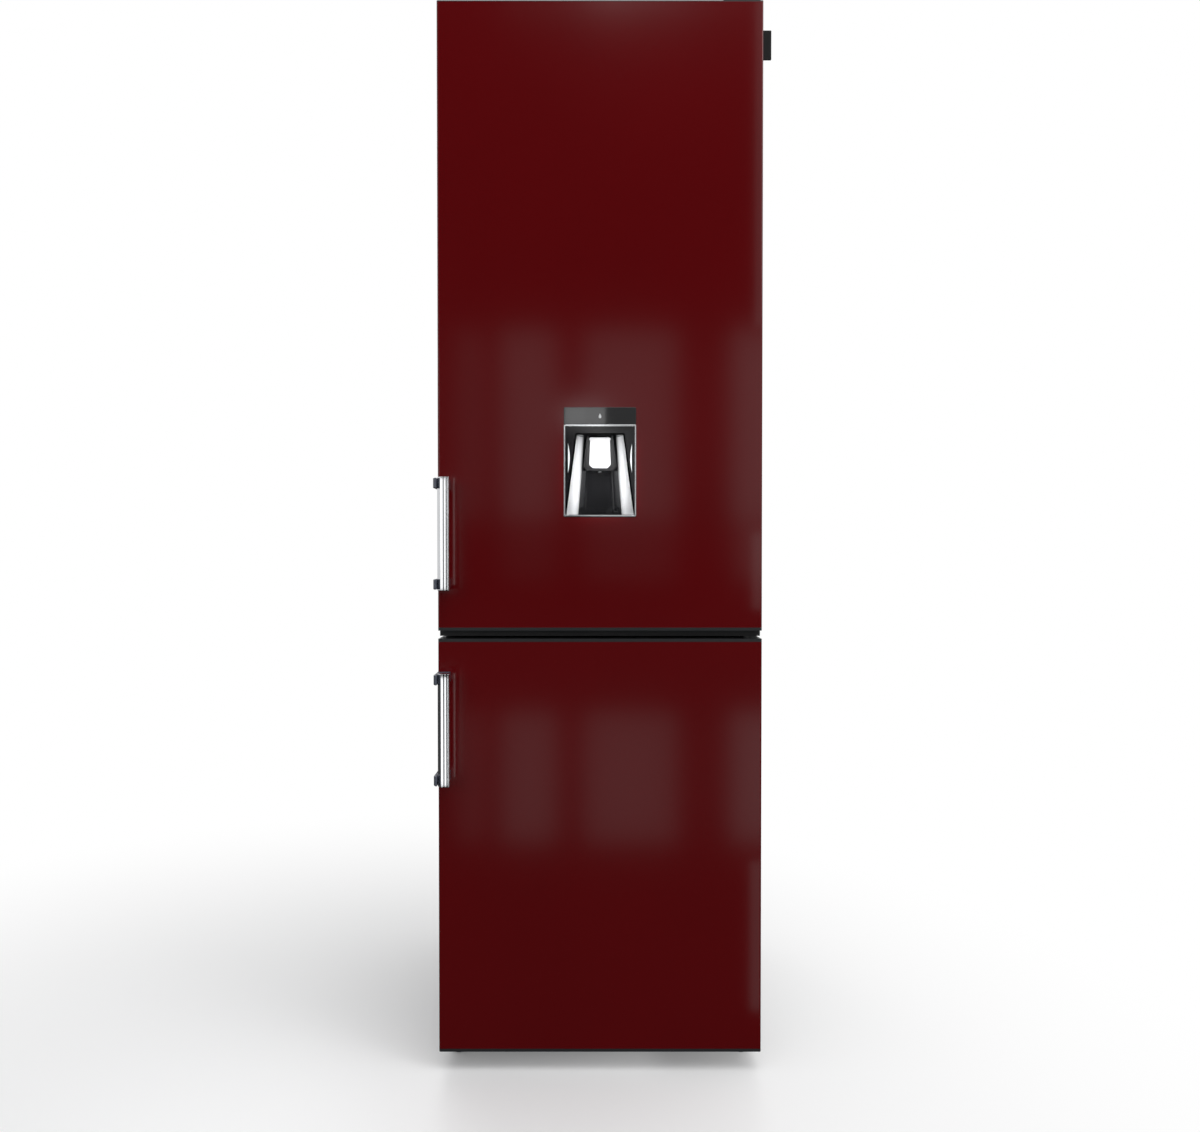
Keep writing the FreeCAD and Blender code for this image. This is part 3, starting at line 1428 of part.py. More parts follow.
def make_freezer_inside():
    """Three drawers, the air cover, the fan with its motor, and the evaporator."""
    half = freezer_half - freezer_drawer_side_gap
    floors = [freezer_floor] + [level + glass_gauge for level in divider_levels]
    ceilings = [level - rib_height for level in divider_levels] + [freezer_ceiling]
    backs = (bottom_drawer_back, freezer_drawer_back, freezer_drawer_back)
    names = ("freezer_drawer_bottom", "freezer_drawer_middle", "freezer_drawer_top")
    for name, floor, ceiling, back in zip(names, floors, ceilings, backs):
        low = floor + drawer_run_gap
        high = ceiling - freezer_drawer_head_gap + rib_height
        save(name, [drawer(half, freezer_drawer_front, back, low, high)])

    cover_half = freezer_half - air_cover_side_gap
    cover_z = (step_height, freezer_ceiling - air_cover_side_gap)
    cover_y = (depth(air_cover_depth), depth(air_cover_depth + air_cover_gauge))
    cover = rounded_deep(both_sides(cover_half), cover_y, cover_z, cavity_radius)
    slot_y = (cover_y[0] - overrun, cover_y[1] + overrun)
    pitch = 2 * fan_grille_radius / grille_count
    slots = []
    for index in range(grille_count):
        low = fan_height - fan_grille_radius + index * pitch + grille_bar / 2
        middle = low + (pitch - grille_bar) / 2 - fan_height
        half_chord = math.sqrt(fan_grille_radius ** 2 - middle ** 2)
        slots.append(block(both_sides(half_chord), slot_y, (low, low + pitch - grille_bar)))
    for side in (-1, 1):
        for index in range(grille_count):
            low = evaporator_bottom + index * pitch
            x_span = sorted((side * (cover_half - slot_width), side * (cover_half - slot_width / 3)))
            slots.append(block(x_span, slot_y, (low, low + slot_height)))
    save("freezer_air_duct", [cover.cut(slots)])

    hub_front = cover_y[1] + fan_hub_setback
    hub_back = hub_front + fan_hub_length
    hub = rod(fan_hub_radius, V(0, hub_front, fan_height), V(0, hub_back, fan_height))
    blades = []
    for index in range(fan_blade_count):
        blade = Part.makeBox(
            fan_blade_width,
            fan_blade_gauge,
            fan_blade_radius - fan_hub_radius / 2,
            V(-fan_blade_width / 2, -fan_blade_gauge / 2, fan_hub_radius / 2),
        )
        blade.rotate(V(0, 0, 0), V(0, 0, 1), fan_blade_pitch_deg)
        blade.rotate(V(0, 0, 0), V(0, 1, 0), 360.0 * index / fan_blade_count)
        blade.translate(V(0, (hub_front + hub_back) / 2, fan_height))
        blades.append(blade)
    shaft_bore = rod(
        fan_shaft_radius + running_clearance,
        V(0, hub_front + fan_shaft_radius, fan_height),
        V(0, hub_back + overrun, fan_height),
    )
    save("fan_blade", [joined([hub] + blades).cut(shaft_bore)])
    motor_front = hub_back + fan_motor_gap
    motor = rod(fan_motor_radius, V(0, motor_front, fan_height), V(0, freezer_back, fan_height))
    shaft = rod(
        fan_shaft_radius,
        V(0, hub_front + fan_shaft_radius + fan_motor_gap, fan_height),
        V(0, motor_front + fan_motor_gap, fan_height),
    )
    save("fan_motor", [joined([motor, shaft])])

    y = evaporator_y
    path = serpentine(evaporator_half_width, evaporator_bottom, evaporator_pitch, evaporator_rows, y)
    path = [V(evaporator_end_x, y, evaporator_bottom)] + path + [V(evaporator_end_x, y, evaporator_top)]
    coil = bent_tube(evaporator_tube_radius, path, evaporator_pitch * evaporator_bend_share)
    fin_z = (evaporator_bottom - fin_margin, evaporator_top + fin_margin)
    holes = []
    for row in range(evaporator_rows):
        z = evaporator_bottom + row * evaporator_pitch
        left = V(-evaporator_half_width, y, z)
        holes.append(rod(evaporator_tube_radius + fin_clearance, left, V(evaporator_half_width, y, z)))
    fins = []
    fin_y = (y - fin_depth / 2, y + fin_depth / 2)
    fin_span = 2 * (evaporator_half_width - evaporator_pitch)
    for index in range(fin_count):
        x = fin_span * index / (fin_count - 1) - fin_span / 2
        fins.append(block((x - fin_gauge / 2, x + fin_gauge / 2), fin_y, fin_z).cut(holes))
    save("evaporator", [coil] + fins)


def serpentine(half, low, pitch, rows, y):
    """The turning corners of a tube that runs from side to side in even rows."""
    corners = []
    for row in range(rows - 1):
        x = half if row % 2 else -half
        corners.append(V(x, y, low + row * pitch))
        corners.append(V(x, y, low + (row + 1) * pitch))
    return corners


# Machine compartment and back

def make_machine():
    """Compressor, grommets, relay, pipes, drain, drain pan, condenser and the cord's gland."""
    x = compressor_x
    y = depth(compressor_depth)
    floor = machine_floor
    foot_low = compressor_foot_low
    low = compressor_low
    high = compressor_high
    profile = [
        V(x, y, low),
        V(x + compressor_radius - compressor_crown / 2, y, low),
        V(x + compressor_radius, y, low + compressor_crown / 2),
        V(x + compressor_radius, y, high - compressor_crown),
    ]
    crown_middle = V(
        x + compressor_radius - compressor_crown * (1 - math.cos(math.pi / 4)),
        y,
        high - compressor_crown * (1 - math.sin(math.pi / 4)),
    )
    crown_end = V(x + compressor_radius - compressor_crown, y, high)
    edges = [Part.makeLine(profile[i], profile[i + 1]) for i in range(len(profile) - 1)]
    edges.append(Part.Arc(profile[-1], crown_middle, crown_end).toShape())
    edges.append(Part.makeLine(crown_end, V(x, y, high)))
    edges.append(Part.makeLine(V(x, y, high), profile[0]))
    shell = Part.Face(Part.Wire(edges)).revolve(V(x, y, 0), V(0, 0, 1), 360)
    foot = rounded_up(
        (x - compressor_foot_half, x + compressor_foot_half),
        (y - compressor_foot_half, y + compressor_foot_half),
        (foot_low, low + overrun),
        compressor_foot_corner,
    )
    stubs = [
        rod(stub_radius, V(x, route[0].y, route[0].z), route[0]) for route in (suction_route, discharge_route)
    ]
    save("compressor", [joined([shell, foot] + stubs)])
    grommets = []
    for side in (-1, 1):
        for end in (-1, 1):
            gx = x + side * (compressor_foot_half - grommet_radius)
            gy = y + end * (compressor_foot_half - grommet_radius)
            grommets.append(rod(grommet_radius, V(gx, gy, floor), V(gx, gy, foot_low)))
    save("compressor_grommets", grommets)
    relay = block(
        (x - compressor_radius - relay_width, x - compressor_radius + relay_width / 3),
        (y - relay_depth / 2, y + relay_depth / 2),
        (foot_low + relay_rise, foot_low + relay_rise + relay_height),
    ).cut(rod(compressor_radius, V(x, y, foot_low), V(x, y, high)))
    save("compressor_relay", [relay])

    drier_low = V(drier_x, drier_y, drier_height)
    drier = rod(drier_radius, drier_low, V(drier_x, drier_y, drier_height + drier_length))
    pipes = [
        bent_tube(pipe_radius, suction_route, pipe_bend),
        bent_tube(pipe_radius, discharge_route, pipe_bend),
        bent_tube(pipe_radius, liquid_route, capillary_bend),
        bent_tube(pipe_radius, capillary_route, capillary_bend),
        drier,
    ]
    save("refrigerant_pipes", pipes)

    pan_y = (depth(machine_depth + pan_margin), case_back - pan_margin)
    pan_z = (floor, floor + pan_height)
    pan = open_box((pan_left, pan_right), pan_y, pan_z, pan_wall, pan_wall, pan_radius)
    save("drain_pan_and_hose", [pan, drain_way(drain_radius).cut(drain_way(drain_bore))])

    top_z = condenser_bottom + (condenser_rows - 1) * condenser_pitch
    path = [V(condenser_half_width, condenser_y, condenser_tail_z)]
    path.append(V(condenser_half_width, condenser_y, condenser_bottom))
    path += serpentine(condenser_half_width, condenser_bottom, condenser_pitch, condenser_rows, condenser_y)
    path.append(V(liquid_x, condenser_y, top_z))
    path.append(V(liquid_x, condenser_y, condenser_tail_z))
    coil = bent_tube(pipe_radius, path, capillary_bend)
    wires = []
    wire_y = condenser_y + pipe_radius + wire_gap + wire_radius
    wire_z = (condenser_bottom - wire_overhang, top_z + wire_overhang)
    wire_span = 2 * (condenser_half_width - condenser_pitch / 2)
    for index in range(wire_count):
        x = wire_span * index / (wire_count - 1) - wire_span / 2
        wires.append(rod(wire_radius, V(x, wire_y, wire_z[0]), V(x, wire_y, wire_z[1])))
    standoffs = []
    standoff_y = (case_back, condenser_y)
    for x in both_sides(condenser_half_width - standoff_inset):
        for z in (condenser_bottom + condenser_pitch, top_z - condenser_pitch):
            x_span = (x - standoff_width / 2, x + standoff_width / 2)
            standoff = block(x_span, standoff_y, (z - standoff_height / 2, z + standoff_height / 2))
            coil_way = rod(pipe_radius, V(-cabinet_half, condenser_y, z), V(cabinet_half, condenser_y, z))
            standoffs.append(standoff.cut(coil_way))
    save("condenser", [coil] + wires + standoffs)

    gland_front = V(gland_x, case_back - gland_reach, gland_height)
    gland_back = V(gland_x, case_back + gland_reach, gland_height)
    flange_front = V(gland_x, case_back, gland_height)
    flange = rod(gland_flange_radius, flange_front, flange_front.add(V(0, gland_flange, 0)))
    gland = joined([rod(gland_radius, gland_front, gland_back), flange])
    save("cord_gland", [gland.cut(rod(gland_radius - gland_wall, gland_front, gland_back))])


make_cabinet()
make_hinges()
make_hinge_cover()
make_screws()
make_feet()
make_upper_door()
make_dispenser()
make_tank()
make_bins()
make_lower_door()
make_fridge_inside()
make_freezer_inside()
make_machine()
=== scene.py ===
import json
import math
import bpy
import numpy as np
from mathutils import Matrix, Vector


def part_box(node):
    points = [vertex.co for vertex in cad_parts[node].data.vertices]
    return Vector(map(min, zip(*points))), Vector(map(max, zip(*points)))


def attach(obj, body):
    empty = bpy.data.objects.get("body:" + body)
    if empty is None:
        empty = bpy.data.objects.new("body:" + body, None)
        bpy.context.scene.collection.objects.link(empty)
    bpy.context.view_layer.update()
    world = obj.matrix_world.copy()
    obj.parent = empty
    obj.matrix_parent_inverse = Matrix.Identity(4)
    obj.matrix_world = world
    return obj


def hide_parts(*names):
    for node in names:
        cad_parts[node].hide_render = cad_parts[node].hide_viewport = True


# A burgundy fridge freezer with a water dispenser, dressed over its fixed frame. Metres, front is -Y.

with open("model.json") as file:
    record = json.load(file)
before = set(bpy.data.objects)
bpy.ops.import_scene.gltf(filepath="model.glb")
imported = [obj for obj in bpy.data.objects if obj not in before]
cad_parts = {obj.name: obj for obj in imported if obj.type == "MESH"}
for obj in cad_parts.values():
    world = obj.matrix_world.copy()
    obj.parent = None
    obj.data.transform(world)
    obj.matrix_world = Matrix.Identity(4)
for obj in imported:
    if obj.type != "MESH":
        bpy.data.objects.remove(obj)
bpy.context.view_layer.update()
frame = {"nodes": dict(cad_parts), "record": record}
nodes = frame["nodes"]
slot_of = {row["node"]: row["material_slot"] for row in frame["record"]["subparts"]}
mm = 0.001
QUARTER = math.pi / 2
FULL_TURN = 2 * math.pi
door_low, door_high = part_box("upper_door_skin")
DOOR_FRONT = door_low[1]
DOOR_HALF = door_high[0]


# Shells: (points, faces) pairs worked out as whole arrays, turned outward, then joined into pieces

def outward(points, faces):
    """A closed shell whose faces are turned outward by the sign of the volume that they enclose."""
    points = np.array(points, dtype=float).reshape(-1, 3)
    volume = 0.0
    for count in {len(face) for face in faces}:
        ring = points[np.array([face for face in faces if len(face) == count])]
        for second in range(1, count - 1):
            volume += np.einsum("ij,ij->", ring[:, 0], np.cross(ring[:, second], ring[:, second + 1]))
    if volume < 0:
        faces = [face[::-1] for face in faces]
    return points, faces


def weigh_normals(mesh, angle):
    """
    Corner normals that keep broad faces flat: each is the sum of (area * normal) over the faces round its
    point whose normals lie within the angle of its own face's normal, made one unit long.
    """
    corners = len(mesh.loops)
    point = np.empty(corners, dtype=np.int32)
    mesh.loops.foreach_get("vertex_index", point)
    sides = np.empty(len(mesh.polygons), dtype=np.int32)
    mesh.polygons.foreach_get("loop_total", sides)
    normal = np.empty(len(mesh.polygons) * 3)
    mesh.polygons.foreach_get("normal", normal)
    area = np.empty(len(mesh.polygons))
    mesh.polygons.foreach_get("area", area)
    face = np.repeat(np.arange(len(sides)), sides)
    order = np.argsort(point, kind="stable")
    sorted_point = point[order]
    first = np.searchsorted(sorted_point, sorted_point)
    size = np.searchsorted(sorted_point, sorted_point, side="right") - first
    position = np.arange(corners) - first
    own = normal.reshape(-1, 3)[face[order]]
    pull = own * area[face[order]][:, None]
    total = pull.copy()
    for offset in range(1, int(size.max())):
        partner = first + (position + offset) % size
        near = (offset < size) & ((own * own[partner]).sum(1) > math.cos(math.radians(angle)))
        total += np.where(near[:, None], pull[partner], 0.0)
    total /= np.maximum(np.linalg.norm(total, axis=1, keepdims=True), 1e-30)
    settled = np.empty_like(total)
    settled[order] = total
    mesh.normals_split_custom_set(settled.tolist())


def make_piece(name, shells, angle=35.0):
    """One mesh of several closed shells, smooth below an edge angle."""
    points = np.concatenate([shell[0] for shell in shells])
    starts = np.cumsum([0] + [len(shell[0]) for shell in shells[:-1]])
    faces = [[int(start) + corner for corner in face] for start, shell in zip(starts, shells) for face in shell[1]]
    mesh = bpy.data.meshes.new(name)
    mesh.from_pydata(points.tolist(), [], faces)
    mesh.update()
    mesh.polygons.foreach_set("use_smooth", np.ones(len(mesh.polygons), dtype=bool))
    mesh.set_sharp_from_angle(angle=math.radians(angle))
    weigh_normals(mesh, angle)
    obj = bpy.data.objects.new(name, mesh)
    bpy.context.scene.collection.objects.link(obj)
    return obj


def skin_over(grid, loop=False):
    """A closed shell over rings of points: flat ends, or rows that close into a loop."""
    rows, columns = grid.shape[:2]
    index = np.arange(rows * columns).reshape(rows, columns)
    right = np.roll(index, -1, axis=1)
    faces = np.stack([index[:-1], right[:-1], right[1:], index[1:]], axis=-1).reshape(-1, 4).tolist()
    if loop:
        faces += np.stack([index[-1], right[-1], right[0], index[0]], axis=-1).tolist()
    else:
        faces += [index[0][::-1].tolist(), index[-1].tolist()]
    return outward(grid, faces)


def round_corners(corners, radii, steps=6):
    """A closed flat outline with an arc of its own radius at each corner, as an array of points."""
    corners = np.asarray(corners, dtype=float)
    radii = np.broadcast_to(radii, len(corners))
    back = np.roll(corners, 1, axis=0) - corners
    ahead = np.roll(corners, -1, axis=0) - corners
    back /= np.linalg.norm(back, axis=1, keepdims=True)
    ahead /= np.linalg.norm(ahead, axis=1, keepdims=True)
    half = np.arccos(np.clip((back * ahead).sum(1), -1, 1)) / 2
    reach = radii / np.tan(half)
    way = (back + ahead) / np.linalg.norm(back + ahead, axis=1, keepdims=True)
    middle = corners + way * (radii / np.sin(half))[:, None]
    start = corners + back * reach[:, None] - middle
    end = corners + ahead * reach[:, None] - middle
    sweep = (math.pi - 2 * half)[:, None]
    t = np.linspace(0, 1, steps + 1)[None]
    from_start = (np.sin((1 - t) * sweep) / np.sin(sweep))[..., None]
    from_end = (np.sin(t * sweep) / np.sin(sweep))[..., None]
    return (middle[:, None] + start[:, None] * from_start + end[:, None] * from_end).reshape(-1, 2)


def rectangle(low, high, radius):
    """The outline of a rounded rectangle between two flat points."""
    return round_corners([(low[0], low[1]), (high[0], low[1]), (high[0], high[1]), (low[0], high[1])], radius)


def outline_normals(outline):
    """Unit vectors that point out of a closed flat outline, one at each point."""
    chord = np.roll(outline, -1, axis=0) - np.roll(outline, 1, axis=0)
    normal = np.stack([chord[:, 1], -chord[:, 0]], axis=1)
    normal /= np.maximum(np.linalg.norm(normal, axis=1, keepdims=True), 1e-12)
    x, y = outline[:, 0], outline[:, 1]
    area = (x * np.roll(y, -1) - np.roll(x, -1) * y).sum()
    return normal if area > 0 else -normal


def to_axis(grid, axis):
    """Turns points drawn as (first, second, along) so that along lies on the named axis."""
    return grid[..., {"z": (0, 1, 2), "y": (0, 2, 1), "x": (2, 0, 1)}[axis]]


def bar_along(outline, low, high, edge, axis="z", steps=4):
    """A bar: an outline carried from low to high, its ends drawn in by a quarter round of the edge radius."""
    turn = np.linspace(0, QUARTER, steps + 1)
    inset = np.concatenate([edge * (1 - np.sin(turn)), edge * (1 - np.cos(turn))])
    along = np.concatenate([low + edge * (1 - np.cos(turn)), high - edge * (1 - np.sin(turn))])
    ring = outline[None] - outline_normals(outline)[None] * inset[:, None, None]
    along = np.broadcast_to(along[:, None, None], ring.shape[:2] + (1,))
    return skin_over(to_axis(np.concatenate([ring, along], axis=2), axis))


def soft_block(low, high, corner, edge, axis="z"):
    """A block with four rounded corners along one axis and softened ends."""
    a, b, c = {"z": (0, 1, 2), "y": (0, 2, 1), "x": (1, 2, 0)}[axis]
    return bar_along(rectangle((low[a], low[b]), (high[a], high[b]), corner), low[c], high[c], edge, axis)


def lathe(profile, centre, axis="z", steps=64, flutes=0, flute_depth=0.0, loop=False):
    """A round shell: a profile of (radius, along) pairs turned about an axis, with flutes cut in if asked."""
    profile = np.asarray(profile, dtype=float)
    turn = np.linspace(0, FULL_TURN, steps, endpoint=False)
    wave = 1 - flute_depth * (0.5 + 0.5 * np.cos(flutes * turn)) ** 2
    radius = profile[:, :1] * wave
    along = np.repeat(profile[:, 1:], steps, axis=1)
    ring = np.stack([radius * np.cos(turn), radius * np.sin(turn), along], axis=2)
    return skin_over(to_axis(ring, axis) + np.asarray(centre, dtype=float), loop)


def tray(low, high, wall, front_wall, corner, foot=4 * mm, draft=0.0, lip=0.0, upside_down=False):
    """An open-topped tray: rounded rings go up its outside, over the rim and down its inside."""
    def ring(inset, z, lead=0.0):
        """One rounded rectangle, drawn in by inset, with the front wall drawn in by lead besides."""
        outline = rectangle(
            (low[0] + inset, low[1] + inset + lead), (high[0] - inset, high[1] - inset), max(corner - inset, mm)
        )
        return np.column_stack([outline, np.full(len(outline), z)])

    rim = 0.6 * mm
    lead = front_wall - wall
    turn = np.linspace(0, QUARTER, 5)
    rows = [ring(draft + lip + foot * (1 - math.sin(q)), low[2] + foot * (1 - math.cos(q))) for q in turn]
    if lip:
        rows += [ring(lip, high[2] - 6 * lip), ring(0, high[2] - 5 * lip)]
    rows += [ring(rim * (1 - math.cos(q)), high[2] - rim * (1 - math.sin(q))) for q in turn]
    top_wall = wall + lip
    rows += [ring(top_wall - rim * (1 - math.sin(q)), high[2] - rim * (1 - math.cos(q)), lead) for q in turn]
    inner_foot = foot * 0.8
    inside = draft + lip + wall
    rows += [
        ring(inside + inner_foot * (1 - math.cos(q)), low[2] + wall + inner_foot * (1 - math.sin(q)), lead)
        for q in turn
    ]
    grid = np.stack(rows)
    if upside_down:
        grid[..., 2] = low[2] + high[2] - grid[..., 2]
    return skin_over(grid)


def mitred_frame(half, z_low, z_high, section):
    """A ring round a rectangle: a closed section of (inward, y) pairs carried round four mitred corners."""
    section = np.asarray(section, dtype=float)
    inward, y = section[:, 0], section[:, 1]
    rows = [
        np.stack([side * (half - inward), y, np.where(top, z_high - inward, z_low + inward)], axis=1)
        for side, top in ((-1, False), (1, False), (1, True), (-1, True))
    ]
    return skin_over(np.stack(rows), loop=True)


def arc_wall(radius_at, z_low, z_high, inset, thickness, angle_low, angle_high, rows=24, columns=40):
    """A piece of a cone's wall about the niche's axis: inner arc, then outer arc back, at each height."""
    z = np.linspace(z_low, z_high, rows)
    angle = np.linspace(angle_low, angle_high, columns)
    both = np.concatenate([angle, angle[::-1]])
    extra = np.concatenate([np.full(columns, -inset), np.full(columns, thickness - inset)])
    radius = radius_at(z)[:, None] + extra[None]
    grid = np.stack([
        radius * np.sin(both), DOOR_FRONT + radius * np.cos(both), np.broadcast_to(z[:, None], radius.shape)
    ], axis=2)
    return skin_over(grid)


# Finishes

def new_material(name, color, roughness, **sockets):
    """A Principled material whose even values sit on the shader's own sockets."""
    material = bpy.data.materials.new(name)
    material.use_nodes = True
    shader = shader_of(material)
    shader.inputs["Base Color"].default_value = (*color, 1)
    shader.inputs["Roughness"].default_value = roughness
    for socket, value in sockets.items():
        shader.inputs[socket.replace("_", " ")].default_value = value
    return material


def shader_of(material):
    """The material's Principled shader."""
    return material.node_tree.nodes["Principled BSDF"]


def node(owner, kind, **values):
    """Adds one shader node to a material or the world, and sets its properties and input values by name."""
    made = owner.node_tree.nodes.new(kind)
    for key, value in values.items():
        if hasattr(made, key):
            setattr(made, key, value)
        else:
            made.inputs[key.replace("_", " ")].default_value = value
    return made


def link(owner, start, end):
    """Joins an output socket to an input socket."""
    owner.node_tree.links.new(start, end)


def maths(owner, operation, *inputs):
    """One maths node on sockets or numbers."""
    made = node(owner, "ShaderNodeMath", operation=operation)
    for place, value in enumerate(inputs):
        if isinstance(value, (int, float)):
            made.inputs[place].default_value = value
        else:
            link(owner, value, made.inputs[place])
    return made.outputs[0]


def object_noise(material, scale, detail=3.0, stretch=(1, 1, 1)):
    """Noise on the object's own coordinates, stretched along its axes."""
    place = node(material, "ShaderNodeTexCoord")
    mapping = node(material, "ShaderNodeMapping", Scale=stretch)
    noise = node(material, "ShaderNodeTexNoise", Scale=scale, Detail=detail)
    link(material, place.outputs["Object"], mapping.inputs["Vector"])
    link(material, mapping.outputs["Vector"], noise.inputs["Vector"])
    return noise.outputs["Fac"]


def vary_color(material, source, dark, light, low=0.3, high=0.7):
    """Lets a pattern move the base colour between two colours."""
    ramp = node(material, "ShaderNodeValToRGB")
    ramp.color_ramp.elements[0].position = low
    ramp.color_ramp.elements[0].color = (*dark, 1)
    ramp.color_ramp.elements[1].position = high
    ramp.color_ramp.elements[1].color = (*light, 1)
    link(material, source, ramp.inputs["Fac"])
    link(material, ramp.outputs["Color"], shader_of(material).inputs["Base Color"])


def vary_roughness(material, source, low, high):
    """Lets a pattern move the roughness between two values."""
    spread = node(material, "ShaderNodeMapRange", To_Min=low, To_Max=high)
    link(material, source, spread.inputs["Value"])
    link(material, spread.outputs["Result"], shader_of(material).inputs["Roughness"])


def bump(material, source, strength, distance):
    """Raises the surface by a pattern."""
    raised = node(material, "ShaderNodeBump", Strength=strength, Distance=distance)
    link(material, source, raised.inputs["Height"])
    link(material, raised.outputs["Normal"], shader_of(material).inputs["Normal"])


def scaled(color, factor):
    """A colour made lighter or darker by one factor."""
    return tuple(min(1.0, channel * factor) for channel in color)


def textured(name, color, roughness, cloud, gloss, grain, **sockets):
    """
    A material that three noises vary. cloud is (scale, darkest, lightest), as shares of the colour. gloss is
    (scale, lowest, highest) for the roughness, or None for an even one. grain is (scale, detail, strength, depth)
    of the bump.
    """
    material = new_material(name, color, roughness, **sockets)
    scale, darkest, lightest = cloud
    vary_color(material, object_noise(material, scale), scaled(color, darkest), scaled(color, lightest))
    if gloss:
        scale, lowest, highest = gloss
        vary_roughness(material, object_noise(material, scale), lowest, highest)
    scale, detail, strength, depth = grain
    bump(material, object_noise(material, scale, detail), strength, depth)
    return material


def moulded(name, color, roughness, grain=900.0, depth=0.00003, spread=0.06, **sockets):
    """Moulded plastic: an even colour with a faint cloud, a fine grain and uneven gloss."""
    return textured(
        name, color, roughness, (9.0, 1 - spread, 1 + spread), (60.0, roughness * 0.85, roughness * 1.15),
        (grain, 2.0, 0.35, depth), **sockets
    )


def sheet_metal(name, color, roughness, stretch=(1, 1, 40), **sockets):
    """Bare rolled metal: streaks along one axis in its gloss and its colour."""
    material = new_material(name, color, roughness, Metallic=1.0, **sockets)
    streak = object_noise(material, 25.0, 4.0, stretch)
    vary_color(material, streak, scaled(color, 0.86), scaled(color, 1.08))
    vary_roughness(material, object_noise(material, 140.0, 3.0, stretch), roughness * 0.75, roughness * 1.3)
    bump(material, streak, 0.12, 0.00004)
    return material


def burgundy_enamel():
    """Deep red gloss enamel on steel: a clear coat over a barely clouded colour, with faint orange peel."""
    return textured(
        "burgundy_enamel", (0.113, 0.0009, 0.0022), 0.3, (3.0, 0.96, 1.04), (30.0, 0.28, 0.33),
        (260.0, 2.0, 0.05, 0.00002), Coat_Weight=1.0, Coat_Roughness=0.15, Coat_IOR=1.5, Specular_IOR_Level=0.0
    )


def galvanised():
    """Zinc-coated sheet with its spangle: small cells that differ in grey and in gloss."""
    color = (0.52, 0.54, 0.55)
    material = new_material("galvanised_sheet", color, 0.42, Metallic=1.0)
    place = node(material, "ShaderNodeTexCoord")
    cells = node(material, "ShaderNodeTexVoronoi", Scale=75.0)
    link(material, place.outputs["Object"], cells.inputs["Vector"])
    vary_color(material, cells.outputs["Color"], scaled(color, 0.8), scaled(color, 1.12), 0.1, 0.9)
    vary_roughness(material, cells.outputs["Color"], 0.33, 0.55)
    bump(material, object_noise(material, 400.0, 2.0), 0.08, 0.00003)
    return material


def liner_plastic():
    """Vacuum-formed white lining: soft gloss with a very shallow orange peel."""
    return textured(
        "white_liner", (0.78, 0.8, 0.81), 0.32, (4.0, 0.97, 1.01), (45.0, 0.28, 0.38), (220.0, 2.0, 0.12, 0.00005),
        Coat_Weight=0.25, Coat_Roughness=0.15
    )


def clear_plastic(name, color, alpha, roughness):
    """See-through moulded plastic, a little cloudier here and there."""
    return textured(
        name, color, roughness, (12.0, 0.97, 1.02), (50.0, roughness * 0.8, roughness * 1.25),
        (300.0, 2.0, 0.1, 0.00003), Alpha=alpha, IOR=1.49, Coat_Weight=0.4, Coat_Roughness=0.05
    )


def glass_sheet():
    """Tempered shelf glass with the green of its edge."""
    material = new_material("shelf_glass", (0.72, 0.86, 0.81), 0.04, Alpha=0.32, IOR=1.5, Coat_Weight=0.5)
    vary_color(material, object_noise(material, 6.0), (0.7, 0.85, 0.8), (0.76, 0.88, 0.84))
    vary_roughness(material, object_noise(material, 35.0), 0.03, 0.07)
    return material


def polished_chrome(name, color=(0.78, 0.79, 0.81), roughness=0.09):
    """Polished plating with the faintest streaks of its buffing."""
    material = new_material(name, color, roughness, Metallic=1.0)
    vary_roughness(material, object_noise(material, 120.0, 3.0, (1, 1, 0.02)), roughness * 0.7, roughness * 1.5)
    vary_color(material, object_noise(material, 20.0), scaled(color, 0.97), scaled(color, 1.02))
    bump(material, object_noise(material, 500.0, 2.0), 0.03, 0.00001)
    return material


def foam_rigid():
    """Yellowed polyurethane foam: fine cells and a mottled cream colour."""
    return textured("rigid_foam", (0.75, 0.64, 0.36), 0.85, (90.0, 0.85, 1.1), None, (900.0, 4.0, 0.6, 0.0003))


def rubber(name, color, roughness=0.62):
    """Matte rubber with a fine bloom."""
    return textured(
        name, color, roughness, (25.0, 0.92, 1.08), (80.0, roughness * 0.9, roughness * 1.1),
        (700.0, 3.0, 0.2, 0.00004), Specular_IOR_Level=0.3
    )


def painted(name, color, roughness, peel=0.00004):
    """Sprayed paint on steel: fine orange peel under a soft gloss."""
    return textured(
        name, color, roughness, (7.0, 0.93, 1.07), (50.0, roughness * 0.88, roughness * 1.12),
        (650.0, 2.0, 0.3, peel), Coat_Weight=0.15, Coat_Roughness=0.25
    )


